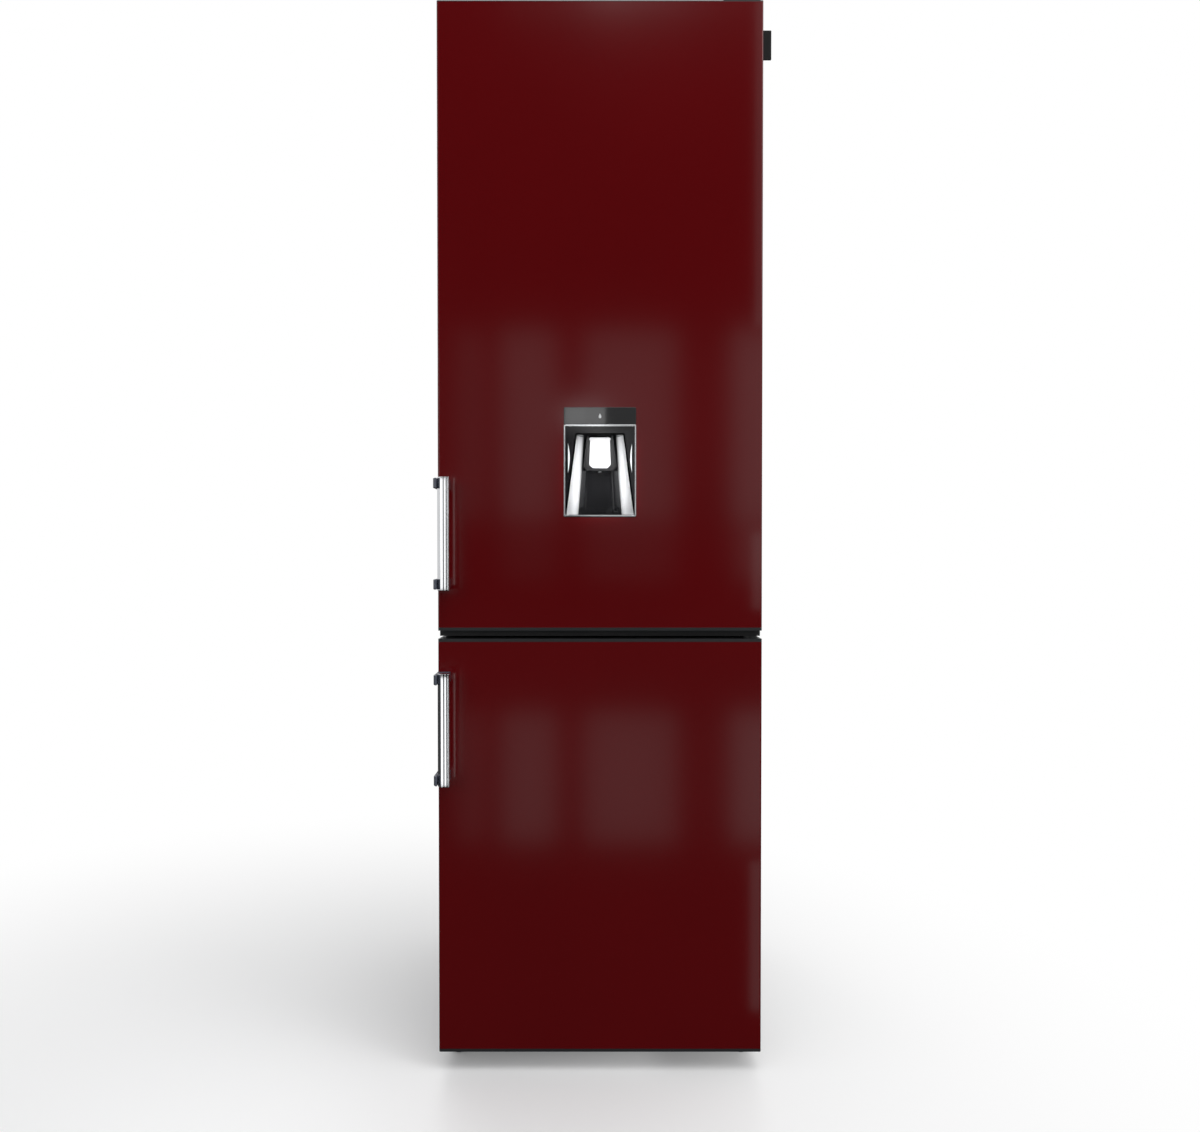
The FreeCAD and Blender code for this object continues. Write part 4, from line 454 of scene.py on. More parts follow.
finishes = {
    "burgundy_gloss": burgundy_enamel(),
    "case_paint": painted("case_paint", (0.03, 0.03, 0.032), 0.42),
    "galvanised_steel": galvanised(),
    "zinc_steel": sheet_metal("zinc_plate", (0.6, 0.61, 0.6), 0.3, (1, 30, 1)),
    "black_steel": painted("black_steel", (0.014, 0.014, 0.015), 0.4),
    "motor_steel": sheet_metal("motor_steel", (0.4, 0.4, 0.42), 0.38),
    "crossbar_dark": painted("crossbar_paint", (0.016, 0.016, 0.017), 0.38),
    "foam": foam_rigid(),
    "white_liner": liner_plastic(),
    "white_plastic": moulded("white_plastic", (0.76, 0.78, 0.79), 0.35, 500.0),
    "grey_plastic": moulded("grey_plastic", (0.3, 0.31, 0.33), 0.42),
    "black_plastic": moulded("black_plastic", (0.004, 0.004, 0.0045), 0.4, Specular_IOR_Level=0.2),
    "cap_plastic": moulded("cap_plastic", (0.024, 0.024, 0.026), 0.36),
    "foot_plastic": moulded("foot_plastic", (0.014, 0.014, 0.015), 0.55),
    "bracket_plastic": moulded("bracket_plastic", (0.075, 0.085, 0.115), 0.3, 700.0, 0.00001),
    "chrome_bar": polished_chrome("chrome_bar"),
    "silver_trim": polished_chrome("silver_trim", (0.74, 0.75, 0.77), 0.12),
    "lever_silver": moulded("lever_silver", (0.88, 0.88, 0.9), 0.2, 900.0, 0.00001, 0.02, Metallic=0.6),
    "black_gloss": moulded("black_gloss", (0.004, 0.004, 0.005), 0.06, 300.0, 0.00001, 0.1, Coat_Weight=0.4),
    "niche_gloss": moulded("niche_gloss", (0.008, 0.008, 0.009), 0.12, 300.0, 0.00001, 0.1, Coat_Weight=0.25),
    "valve_plastic": moulded("valve_plastic", (0.7, 0.71, 0.72), 0.4),
    "clear_plastic": clear_plastic("clear_plastic", (0.84, 0.89, 0.91), 0.3, 0.12),
    "frost_plastic": clear_plastic("frost_plastic", (0.72, 0.81, 0.87), 0.52, 0.28),
    "shelf_glass": glass_sheet(),
    "lamp_lens": clear_plastic("lamp_lens", (0.92, 0.92, 0.88), 0.85, 0.3),
    "gasket_rubber": rubber("gasket_rubber", (0.34, 0.34, 0.35), 0.5),
    "black_rubber": rubber("black_rubber", (0.014, 0.014, 0.014)),
    "bare_aluminium": sheet_metal("bare_aluminium", (0.76, 0.77, 0.78), 0.28),
    "compressor_black": painted("compressor_enamel", (0.01, 0.01, 0.011), 0.22, 0.00008),
    "copper_pipe": sheet_metal("copper_pipe", (0.78, 0.36, 0.2), 0.26, (1, 1, 8)),
    "condenser_black": painted("condenser_paint", (0.013, 0.013, 0.014), 0.36),
}


for node_name, slot in slot_of.items():
    shown = nodes[node_name]
    for place in shown.material_slots:
        place.material = finishes[slot]
    if not shown.material_slots:
        shown.data.materials.append(finishes[slot])


def add(piece, body, slot, *replaced):
    """Puts a made piece on its body, with its finish and the nodes that it stands for."""
    piece.data.materials.append(finishes[slot])
    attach(piece, body)
    if replaced:
        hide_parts(*replaced)
    return piece


def stand_in(name, body, node_name, shells, angle=35.0):
    """A made piece that takes a node's place, with that node's finish."""
    return add(make_piece(name, shells, angle), body, slot_of[node_name], node_name)


# Handles

BAR_BEVEL = 6 * mm
BAR_BEVEL_SHARE = 0.55
BAR_START_RADII = (1.2 * mm, 1.5 * mm, 1.0 * mm)
BAR_END_RADII = (0.5 * mm, 1.2 * mm)
BAR_TIP_EDGE = 0.6 * mm
GROOVE_WIDTH = 1.3 * mm
GROOVE_DEPTH = 2.2 * mm
GROOVE_SHARES = (0.53, 0.78)
GROOVE_RADII = (0.35 * mm, 0.3 * mm, 0.3 * mm, 0.35 * mm)
# Sizes of the black strips in the grooves, which are painted shade
GROOVE_SHADE_BITE = 0.05 * mm
GROOVE_SHADE_SEAT = 0.1 * mm
GROOVE_SHADE_SETBACK = 0.5 * mm
GROOVE_SHADE_EDGE = 0.2 * mm
CHEEK_WIDTH = 6.1 * mm
CHEEK_CHAMFER = (3 * mm, 5 * mm)
BRACKET_DEPTH = 21 * mm
BRACKET_HEIGHT = 17 * mm
BRACKET_INSET = 1.5 * mm
BRACKET_RADII = (0.2 * mm, 1.2 * mm, 0.8 * mm, 0.8 * mm, 0.6 * mm, 2.0 * mm, 0.2 * mm)
BRACKET_EDGE = 1.4 * mm


def handle_bar(node_name):
    """The bar's flat section with its bevel and two grooves, every corner softened, carried upward."""
    low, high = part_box(node_name)
    bevel_back = low[1] + (high[1] - low[1]) * BAR_BEVEL_SHARE
    corners = [(low[0], high[1]), (low[0], bevel_back), (low[0] + BAR_BEVEL, low[1])]
    radii = [*BAR_START_RADII]
    for share in GROOVE_SHARES:
        groove = low[0] + (high[0] - low[0]) * share
        corners += [
            (groove, low[1]), (groove, low[1] + GROOVE_DEPTH),
            (groove + GROOVE_WIDTH, low[1] + GROOVE_DEPTH), (groove + GROOVE_WIDTH, low[1]),
        ]
        radii += GROOVE_RADII
    corners += [(high[0], low[1]), (high[0], high[1])]
    radii += BAR_END_RADII
    return bar_along(round_corners(corners, radii, 8), low[2], high[2], BAR_TIP_EDGE)


def handle_brackets(bar_node):
    """Two posts with a cheek beside the bar: an L-shaped section with a broad outer chamfer."""
    low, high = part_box(bar_node)
    left = -DOOR_HALF
    across, back = CHEEK_CHAMFER
    corners = [
        (left, DOOR_FRONT), (left, low[1] + back), (left + across, low[1]), (left + CHEEK_WIDTH, low[1]),
        (left + CHEEK_WIDTH, high[1]), (left + BRACKET_DEPTH, high[1]), (left + BRACKET_DEPTH, DOOR_FRONT),
    ]
    outline = round_corners(corners, list(BRACKET_RADII), 4)
    bottoms = (low[2] + BRACKET_INSET, high[2] - BRACKET_INSET - BRACKET_HEIGHT)
    return [bar_along(outline, bottom, bottom + BRACKET_HEIGHT, BRACKET_EDGE) for bottom in bottoms]


def bar_groove_shade(node_name):
    """Dark strips in the bar's two grooves, as painted shade: they stand in for the shade and dark reflection inside
    the grooves.
    """
    low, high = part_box(node_name)
    shells = []
    for share in GROOVE_SHARES:
        left = low[0] + (high[0] - low[0]) * share
        shells.append(soft_block(
            (left - GROOVE_SHADE_BITE, low[1] + GROOVE_SHADE_SETBACK, low[2] + mm),
            (left + GROOVE_WIDTH + GROOVE_SHADE_BITE, low[1] + GROOVE_DEPTH + GROOVE_SHADE_SEAT, high[2] - mm),
            GROOVE_SHADE_EDGE, GROOVE_SHADE_EDGE,
        ))
    return shells


for which in ("upper", "lower"):
    door_name, bar_node = which + "_door", which + "_handle_bar"
    stand_in(which + "_bracket_forms", door_name, which + "_handle_brackets", handle_brackets(bar_node))
    stand_in(which + "_bar_form", door_name, bar_node, [handle_bar(bar_node)], 25.0)
    # Black strips in the grooves: painted shade where the grooves' hollows look dark
    add(make_piece(which + "_bar_groove_shade", bar_groove_shade(bar_node)), door_name, "black_gloss")


# Water dispenser

TRIM_SIDE = 2 * mm
TRIM_OUTER_RADIUS = 2 * mm
TRIM_INNER_RADIUS = 1.6 * mm
TRIM_SOFTENING = 0.5 * mm
HEAD_SETBACK = 0.15 * mm
DROP_HALF_WIDTH = 3.1 * mm
DROP_HALF_HEIGHT = 4.2 * mm
NICHE_WALL = 3 * mm
CONE_HEAD = 14 * mm
CONE_TOP_RADIUS = 39 * mm
CONE_BOTTOM_RADIUS = 57 * mm
HOUSING_HEIGHT = 59.6 * mm
HOUSING_SETBACK = 14 * mm
HOUSING_TOP_HALF = 22 * mm
HOUSING_BOTTOM_HALF = 29 * mm
POCKET_TOP_HALF = 18.5 * mm
POCKET_BOTTOM_HALF = 20 * mm
POCKET_FLOOR = 4 * mm
POCKET_DEPTH = 16 * mm
FOLD = 7 * mm
BACKPLATE_SHARE = 0.82
DRIP_RIB_PLACES = (8, 15, 22, 29, 36, 43)
FACE_RADII = (0.6, 0.6, 2.5, 2.5, 0.6, 0.6, 1.2, 1.2)
HOUSING_RADII = (0.8, 3, 3, 3, 3, 0.8, 0.8, 2, 2, 2, 2, 0.8)
BACKPLATE_RADII = (0.3, 3, 3, 3, 3, 0.3)
FLANK_ANGLES = (42, 89)
FLANK_LIFT = 0.25 * mm
FLANK_GAUGE = 0.3 * mm
# The flanks' colour runs from near-black in the recess's middle to pale at its sides: a painted reflection of a dark
# front and a bright room
FLANK_DARK_REFLECTION = (0.012, 0.012, 0.013)
FLANK_BRIGHT_REFLECTION = (0.92, 0.93, 0.95)
FLANK_REFLECTION_FADE = (0.0275, 0.0325)
# Leaves on the cheeks: pale plates that are painted highlights on the black cheeks
LEAF_PLACE = 54.3 * mm
LEAF_DROP = 39 * mm
LEAF_HALF = (1.5 * mm, 25 * mm)
LEAF_BEND = 1.6 * mm
LEVER_CHAMFER = 6 * mm
LEVER_TOP_HALF = 17 * mm
LEVER_BOTTOM_HALF = 18.5 * mm
LEVER_GAUGE = 3 * mm
LEVER_PIN_RADIUS = 1.5 * mm
LEVER_RADII = (1.0, 2.5, 2.5, 2.5, 2.5, 1.0)
bezel_low, bezel_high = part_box("dispenser_bezel")
trim_low, trim_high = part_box("dispenser_trim")
lever_low, lever_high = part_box("dispenser_lever")
NICHE_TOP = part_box("dispenser_niche")[1][2]
NICHE_BOTTOM = trim_low[2] + NICHE_WALL
CONE_TOP = NICHE_TOP - CONE_HEAD
HOUSING_BOTTOM = CONE_TOP - HOUSING_HEIGHT
NICHE_HALF = trim_high[0] - TRIM_SIDE


def cone_radius(z):
    """The recess's radius at a height: it widens evenly from its head to its floor."""
    share = (np.asarray(z) - NICHE_BOTTOM) / (CONE_TOP - NICHE_BOTTOM)
    return CONE_BOTTOM_RADIUS + (CONE_TOP_RADIUS - CONE_BOTTOM_RADIUS) * share


def dispenser_head():
    """The flat black panel over the niche."""
    front = bezel_low[1] + HEAD_SETBACK
    return soft_block(
        (bezel_low[0], front, trim_high[2]), (bezel_high[0], DOOR_FRONT + mm, bezel_high[2]), 2 * mm, 0.5 * mm, "y"
    )


def water_mark():
    """A plain water sign: one drop, a thin flat plate."""
    centre_z = (trim_high[2] + bezel_high[2]) / 2
    turn = np.linspace(0, FULL_TURN, 48, endpoint=False)
    drop_x = DROP_HALF_WIDTH * np.sin(turn) * np.abs(np.sin(turn / 2)) ** 1.2
    drop_z = centre_z + DROP_HALF_HEIGHT * np.cos(turn)
    drop = np.column_stack([drop_x, drop_z])
    return [bar_along(drop, bezel_low[1], bezel_low[1] + 0.3 * mm, 0.03 * mm, "y", 1)]


def trim_ring():
    """The bright edge round the niche: an outer and an inner rounded outline with a softened front."""
    front, back = trim_low[1], DOOR_FRONT
    inner_low, inner_high = (-NICHE_HALF, NICHE_BOTTOM), (NICHE_HALF, NICHE_TOP)
    outer_low, outer_high = (trim_low[0], trim_low[2]), (trim_high[0], trim_high[2])
    turn = np.linspace(0, QUARTER, 5)
    steps = [(TRIM_SOFTENING * (1 - math.cos(q)), front + TRIM_SOFTENING * (1 - math.sin(q))) for q in turn]
    rows = []
    for inset, y in steps:
        rows.append((rectangle(np.add(outer_low, inset), np.subtract(outer_high, inset), TRIM_OUTER_RADIUS), y))
    for inset, y in steps[::-1]:
        rows.append((rectangle(np.subtract(inner_low, inset), np.add(inner_high, inset), TRIM_INNER_RADIUS), y))
    rows.append((rectangle(inner_low, inner_high, TRIM_INNER_RADIUS), back))
    rows.append((rectangle(outer_low, outer_high, TRIM_OUTER_RADIUS), back))
    grid = np.stack([np.column_stack([line[:, 0], np.full(len(line), y), line[:, 1]]) for line, y in rows])
    return skin_over(grid, loop=True)


def half_disc(radius, z_low, z_high, edge):
    """A flat half disc behind the door's face."""
    angle = np.linspace(-QUARTER, QUARTER, 49)
    outline = np.column_stack([radius * np.sin(angle), DOOR_FRONT + radius * np.cos(angle)])
    return bar_along(outline, z_low, z_high, edge)


def niche_shells():
    """Face, conical wall, floor with drip ribs, roof, and the lever's U-shaped housing."""
    y0 = DOOR_FRONT
    face = [
        (-NICHE_HALF, NICHE_BOTTOM), (-CONE_BOTTOM_RADIUS, NICHE_BOTTOM), (-CONE_TOP_RADIUS, CONE_TOP),
        (CONE_TOP_RADIUS, CONE_TOP), (CONE_BOTTOM_RADIUS, NICHE_BOTTOM), (NICHE_HALF, NICHE_BOTTOM),
        (NICHE_HALF, NICHE_TOP), (-NICHE_HALF, NICHE_TOP),
    ]
    radii = np.array(FACE_RADII) * mm
    shells = [bar_along(round_corners(face, radii), y0, y0 + NICHE_WALL, 0.3 * mm, "y")]
    shells.append(arc_wall(cone_radius, NICHE_BOTTOM, CONE_TOP + mm, 0.0, NICHE_WALL, -QUARTER, QUARTER, 24, 72))
    shells.append(half_disc(CONE_BOTTOM_RADIUS + 2 * mm, trim_low[2], NICHE_BOTTOM + 0.2 * mm, 0.2 * mm))
    shells.append(half_disc(CONE_TOP_RADIUS + 2 * mm, CONE_TOP, CONE_TOP + NICHE_WALL, 0.2 * mm))
    for behind in DRIP_RIB_PLACES:
        y = y0 + behind * mm
        reach = math.sqrt((CONE_BOTTOM_RADIUS - 3 * mm) ** 2 - (y - y0) ** 2)
        rib_low = (-reach, y - mm, NICHE_BOTTOM)
        shells.append(soft_block(rib_low, (reach, y + mm, NICHE_BOTTOM + 1.2 * mm), 0.9 * mm, 0.5 * mm))
    slope = (HOUSING_BOTTOM_HALF - HOUSING_TOP_HALF) / HOUSING_HEIGHT
    side_half = HOUSING_BOTTOM_HALF - slope * FOLD
    floor = HOUSING_BOTTOM + POCKET_FLOOR
    housing = [
        (-HOUSING_TOP_HALF, CONE_TOP), (-side_half, HOUSING_BOTTOM + FOLD), (-side_half + FOLD, HOUSING_BOTTOM),
        (side_half - FOLD, HOUSING_BOTTOM), (side_half, HOUSING_BOTTOM + FOLD), (HOUSING_TOP_HALF, CONE_TOP),
        (POCKET_TOP_HALF, CONE_TOP), (POCKET_BOTTOM_HALF, floor + FOLD), (POCKET_BOTTOM_HALF - FOLD, floor),
        (FOLD - POCKET_BOTTOM_HALF, floor), (-POCKET_BOTTOM_HALF, floor + FOLD), (-POCKET_TOP_HALF, CONE_TOP),
    ]
    y1 = y0 + HOUSING_SETBACK
    ring = round_corners(housing, np.array(HOUSING_RADII) * mm)
    shells.append(bar_along(ring, y1, y1 + POCKET_DEPTH + mm, 0.5 * mm, "y"))
    plate = round_corners(housing[:6], np.array(BACKPLATE_RADII) * mm)
    shells.append(bar_along(plate, y1 + POCKET_DEPTH, y0 + CONE_TOP_RADIUS * BACKPLATE_SHARE, 0.3 * mm, "y"))
    return shells


def lens_outline(centre_x, centre_z, half_width, half_height, bend):
    """A leaf of two arcs, bent sideways by a parabola."""
    t = np.linspace(-1, 1, 25)
    width = half_width * (1 - t ** 2)
    middle = centre_x + bend * (1 - t ** 2)
    right = np.column_stack([middle + width, centre_z + half_height * t])
    left = np.column_stack([middle - width, centre_z + half_height * t])[::-1]
    return np.concatenate([right, left[1:-1]])


def flank_reflection_bands():
    """Bands on both polished flanks of the cone, and a leaf on each cheek: their pale colour is a painted reflection
    on the bands and a painted highlight on the leaves.
    """
    shells = []
    for side in (-1, 1):
        low_angle, high_angle = sorted(side * math.radians(angle) for angle in FLANK_ANGLES)
        shells.append(arc_wall(
            cone_radius, NICHE_BOTTOM + 0.3 * mm, CONE_TOP - 0.3 * mm, FLANK_LIFT, FLANK_GAUGE, low_angle, high_angle
        ))
        # A pale leaf on the cheek: a painted highlight
        leaf = lens_outline(side * LEAF_PLACE, CONE_TOP - LEAF_DROP, *LEAF_HALF, -side * LEAF_BEND)
        shells.append(bar_along(leaf, DOOR_FRONT - 0.6 * mm, DOOR_FRONT + 0.4 * mm, 0.3 * mm, "y", 2))
    return shells


def flank_painted_reflection():
    """A painted reflection: a pale satin colour that fades to near-black toward the middle of the recess, by the
    distance from its middle plane.
    """
    material = new_material("flank_painted_reflection", FLANK_BRIGHT_REFLECTION, 0.22, Coat_Weight=0.3)
    place = node(material, "ShaderNodeTexCoord")
    split = node(material, "ShaderNodeSeparateXYZ")
    link(material, place.outputs["Object"], split.inputs[0])
    widening = node(material, "ShaderNodeMath", operation="MULTIPLY_ADD")
    height, lean, level = widening.inputs
    link(material, split.outputs["Z"], height)
    lean.default_value = (CONE_BOTTOM_RADIUS - CONE_TOP_RADIUS) / (CONE_TOP - NICHE_BOTTOM) * 0.5
    level.default_value = -CONE_TOP * lean.default_value
    beyond = maths(material, "ADD", maths(material, "ABSOLUTE", split.outputs["X"]), widening.outputs[0])
    vary_color(material, beyond, FLANK_DARK_REFLECTION, FLANK_BRIGHT_REFLECTION, *FLANK_REFLECTION_FADE)
    vary_roughness(material, object_noise(material, 60.0), 0.18, 0.26)
    return material


def lever_shells():
    """The push lever: a flat paddle with chamfered lower corners, and its pivot pin."""
    bottom, top = lever_low[2], lever_high[2]
    corners = [
        (-LEVER_TOP_HALF, top), (-LEVER_BOTTOM_HALF, bottom + LEVER_CHAMFER),
        (-LEVER_BOTTOM_HALF + LEVER_CHAMFER, bottom), (LEVER_BOTTOM_HALF - LEVER_CHAMFER, bottom),
        (LEVER_BOTTOM_HALF, bottom + LEVER_CHAMFER), (LEVER_TOP_HALF, top),
    ]
    outline = round_corners(corners, np.array(LEVER_RADII) * mm)
    paddle = bar_along(outline, lever_low[1], lever_low[1] + LEVER_GAUGE, 0.9 * mm, "y", 6)
    centre = (0, lever_low[1] + LEVER_GAUGE / 2, top - LEVER_PIN_RADIUS - LEVER_GAUGE / 2)
    return [paddle, lathe([(LEVER_PIN_RADIUS, lever_low[0]), (LEVER_PIN_RADIUS, lever_high[0])], centre, "x", 24)]


stand_in("dispenser_head", "upper_door", "dispenser_bezel", [dispenser_head()])
add(make_piece("water_mark", water_mark()), "upper_door", "white_plastic")
stand_in("trim_ring", "upper_door", "dispenser_trim", [trim_ring()])
stand_in("niche_form", "upper_door", "dispenser_niche", niche_shells())
# Flank bands and cheek leaves whose colour carries painted reflection and painted highlights
flanks = make_piece("niche_flanks", flank_reflection_bands())
add(flanks, "upper_door", "silver_trim")
flanks.data.materials.clear()
flanks.data.materials.append(flank_painted_reflection())
stand_in("lever_form", "dispenser_lever", "dispenser_lever", lever_shells())


# Door edges, seals and hinge cover

def gasket_ring(node_name):
    """A magnetic seal: bellows folds behind a flat face, carried round four mitred corners."""
    low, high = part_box(node_name)
    y = low[1]
    section = [
        (5.5, 0.0), (5.0, 1.4), (6.4, 2.4), (4.2, 3.4), (1.4, 4.4), (0.0, 5.6), (0.0, 8.8), (0.7, 9.5),
        (6.0, 9.6), (9.0, 9.2), (12.0, 9.6), (17.3, 9.5), (18.0, 8.8), (18.0, 5.6), (16.6, 4.4), (13.8, 3.4),
        (11.6, 2.4), (13.0, 1.4), (12.5, 0.0),
    ]
    points = [(inward * mm, min(y + back * mm, high[1])) for inward, back in section]
    return mitred_frame(high[0], low[2], high[2], points)


for which in ("upper", "lower"):
    gasket = which + "_gasket"
    stand_in(which + "_seal", which + "_door", gasket, [gasket_ring(gasket)])

tab_low, tab_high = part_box("side_tab")
stand_in("tab_form", "upper_door", "side_tab", [soft_block(tab_low, tab_high, 1.2 * mm, 0.4 * mm, "y")])
cover_low, cover_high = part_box("hinge_cover")
cover_shell = tray(cover_low, cover_high, 2 * mm, 2 * mm, 6 * mm, 3.5 * mm, upside_down=True)
stand_in("hinge_cover_form", "root", "hinge_cover", [cover_shell])


# Bins, drawers, shelf trims and small parts inside

BIN_PLACES = ((800 * mm, 80 * mm), (1330 * mm, 70 * mm), (1540 * mm, 70 * mm))
BIN_BACK_SHARE = 0.8
PANEL_GAUGE = 3.3 * mm
GRIP_HALF = 65 * mm
GRIP_HEIGHT = 18 * mm
GRIP_DROP = 26 * mm
GRIP_DEPTH = 2.4 * mm
PANEL_EDGE = 1.2 * mm
PANEL_SLOPE = 1.2 * mm
SHELF_LEVELS = (961.0 * mm, 1165.0 * mm, 1355.0 * mm, 1545.0 * mm)
GLASS_GAUGE = 4 * mm
NOSE_RADII = (4.5, 1.2, 0.4, 0.3, 0.3, 0.4, 1.2, 4.5)
PRISM_COUNT = 45
PRISM_DEPTH = 0.9 * mm
KNOB_RISE = 1.5 * mm
POINTER_HALF = (1.5 * mm, 11 * mm)
FAN_HEIGHT = 632 * mm
FAN_TIP = 42 * mm
FAN_ROOT = 10.5 * mm
FAN_BLADES = 5


def middle_of(node_name):
    """The middle of a node's box."""
    low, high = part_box(node_name)
    return [(first + last) / 2 for first, last in zip(low, high)]


def smooth_step(value, low, high):
    """Goes from 0 to 1 between two values as 3t^2 - 2t^3."""
    t = np.clip((np.asarray(value, dtype=float) - low) / (high - low), 0, 1)
    return t * t * (3 - 2 * t)


def door_bin_shells():
    """Three open bins whose rims drop toward the door: z = floor + (z - floor) * (0.8 + 0.2 S(y))."""
    low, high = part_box("door_bins")
    shells = []
    for level, height in BIN_PLACES:
        corner = (high[0], high[1], level + height)
        points, faces = tray((low[0], low[1], level), corner, 2 * mm, 2 * mm, 10 * mm, 5 * mm, 1.5 * mm, 0.8 * mm)
        share = smooth_step(points[:, 1], low[1] + 11 * mm, low[1] + 26 * mm)
        points[:, 2] = level + (points[:, 2] - level) * (BIN_BACK_SHARE + (1 - BIN_BACK_SHARE) * share)
        shells.append((points, faces))
    return shells


def pocket_panel(low, high, pocket_low, pocket_high, depth, edge):
    """
    A drawer's front as a height field: y = front + depth * P(x) * P(z) + R, where P goes up and down by smooth
    steps across the pocket's edges and R = edge - sqrt(edge^2 - (edge - d)^2) rounds the rim, d away from it.
    """
    slope = PANEL_SLOPE
    turn = np.linspace(0, QUARTER, 6)
    lines = []
    for axis, place in ((0, 0), (2, 1)):
        lines.append(np.unique(np.concatenate([
            low[axis] + edge * (1 - np.cos(turn)), high[axis] - edge * (1 - np.cos(turn)),
            pocket_low[place] + slope * np.linspace(-1, 1, 7), pocket_high[place] + slope * np.linspace(-1, 1, 7),
        ]).round(7)))
    x, z = np.meshgrid(*lines, indexing="ij")
    rise = 1.0
    for value, place in ((x, 0), (z, 1)):
        up = smooth_step(value, pocket_low[place] - slope, pocket_low[place] + slope)
        rise = rise * up * (1 - smooth_step(value, pocket_high[place] - slope, pocket_high[place] + slope))
    rim = np.minimum(np.minimum(x - low[0], high[0] - x), np.minimum(z - low[2], high[2] - z))
    rim = np.clip(edge - rim, 0, edge)
    y = low[1] + depth * rise + edge - np.sqrt(edge ** 2 - rim ** 2)
    front = np.stack([x, y, z], axis=-1).reshape(-1, 3)
    index = np.arange(x.size).reshape(x.shape)
    faces = np.stack([index[:-1, :-1], index[1:, :-1], index[1:, 1:], index[:-1, 1:]], axis=-1).reshape(-1, 4)
    border = np.concatenate([index[:-1, 0], index[-1, :-1], index[:0:-1, -1], index[0, :0:-1]])
    back = front[border] * (1, 0, 1) + (0, high[1], 0)
    ring = x.size + np.arange(len(border))
    sides = np.stack([border, ring, np.roll(ring, -1), np.roll(border, -1)], axis=-1)
    return outward(np.concatenate([front, back]), faces.tolist() + sides.tolist() + [ring[::-1].tolist()])


def drawer_shells(node_name):
    """A drawer: a moulded front with its grip pocket, and a tray with a turned-out lip behind it."""
    low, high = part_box(node_name)
    front = pocket_panel(
        low, (high[0], low[1] + PANEL_GAUGE, high[2]), (-GRIP_HALF, high[2] - GRIP_DROP - GRIP_HEIGHT),
        (GRIP_HALF, high[2] - GRIP_DROP), GRIP_DEPTH, PANEL_EDGE,
    )
    body = tray(
        (low[0] + mm, low[1] + PANEL_GAUGE + 0.05 * mm, low[2]), (high[0] - mm, high[1], high[2] - mm),
        1.9 * mm, 1.6 * mm, 7 * mm, 5 * mm, 2 * mm, mm,
    )
    return [front, body]


def shelf_trim_shells():
    """Rounded plastic noses with a slot for the glass, carried across each shelf's front."""
    low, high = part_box("shelf_trims")
    middle = (low[1] + high[1]) / 2
    shells = []
    for level in SHELF_LEVELS:
        bottom, top = level - 4 * mm, level + 8 * mm
        corners = [
            (low[1], bottom), (high[1], bottom), (high[1], level), (middle, level),
            (middle, level + GLASS_GAUGE), (high[1], level + GLASS_GAUGE), (high[1], top), (low[1], top),
        ]
        outline = round_corners(corners, np.array(NOSE_RADII) * mm, 5)
        shells.append(bar_along(outline, low[0] + 10 * mm, high[0] - 10 * mm, 0.25 * mm, "x"))
    return shells


def lens_shell():
    """A lamp lens whose underside is cut into small prisms."""
    low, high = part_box("light_lens")
    y = np.linspace(low[1] + 1.5 * mm, high[1] - 1.5 * mm, PRISM_COUNT)
    z = low[2] + PRISM_DEPTH * (np.arange(PRISM_COUNT) % 2)
    outline = np.concatenate([np.column_stack([y, z]), [
        (high[1], low[2] + 1.5 * mm), (high[1], high[2]), (low[1], high[2]), (low[1], low[2] + 1.5 * mm),
    ]])
    return bar_along(outline, low[0], high[0], 0.25 * mm, "x")


def knob_shells():
    """The thermostat knob: a fluted body, a raised pointer and its shaft."""
    low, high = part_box("thermostat_knob")
    middle = middle_of("thermostat_knob")
    front = low[1] + KNOB_RISE
    centre = (middle[0], 0, middle[2])
    profile = [
        (4, 0), (10.5, 0), (12.6, 0.3), (13.6, 1.0), (14, 2.2), (14, 8.6), (13.8, 9.6), (13.0, 10.0), (4, 10.0),
    ]
    body = lathe([(r * mm, front + y * mm) for r, y in profile], centre, "y", 108, 18, 0.05)
    across, up = POINTER_HALF
    pointer = soft_block(
        (middle[0] - across, low[1], middle[2] - up), (middle[0] + across, front + 2 * mm, middle[2] + up),
        1.2 * mm, 0.5 * mm, "y",
    )
    shaft = lathe([(4 * mm, front + 9.9 * mm), (4 * mm, high[1] - 0.6 * mm), (3.4 * mm, high[1])], centre, "y", 32)
    return [body, pointer, shaft]


def fan_shells():
    """A hub with a domed face and five blades that twist from 34 degrees at the hub to 24 at the tip."""
    low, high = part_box("fan_blade")
    middle = middle_of("fan_blade")
    hub = lathe([
        (1 * mm, low[1]), (6 * mm, low[1] + 0.4 * mm), (10 * mm, low[1] + 1.8 * mm), (12 * mm, low[1] + 4.5 * mm),
        (12 * mm, high[1] - 0.6 * mm), (11.4 * mm, high[1]), (4 * mm, high[1]), (4 * mm, high[1] - 3 * mm),
    ], (0, 0, FAN_HEIGHT), "y", 64)
    shells = [hub]
    t = np.linspace(0, 1, 13)[:, None]
    turn = np.linspace(0, FULL_TURN, 33)[None, :-1]
    reach = FAN_ROOT + (FAN_TIP - FAN_ROOT) * t
    chord = (19 + 3 * t - 7 * t ** 6) * mm
    gauge = (1.6 - 0.7 * t) * mm
    along = chord / 2 * np.cos(turn)
    across = gauge / 2 * np.sin(turn) + 0.05 * chord * (1 - np.cos(turn) ** 2)
    pitch = np.radians(34 - 10 * t)
    x = along * np.cos(pitch) - across * np.sin(pitch)
    y = along * np.sin(pitch) + across * np.cos(pitch)
    z = np.sqrt(np.maximum(reach ** 2 - x ** 2, (3 * mm) ** 2))
    for blade in range(FAN_BLADES):
        angle = FULL_TURN * blade / FAN_BLADES
        shells.append(skin_over(np.stack([
            x * math.cos(angle) + z * math.sin(angle), middle[1] + y,
            FAN_HEIGHT - x * math.sin(angle) + z * math.cos(angle),
        ], axis=-1)))
    return shells


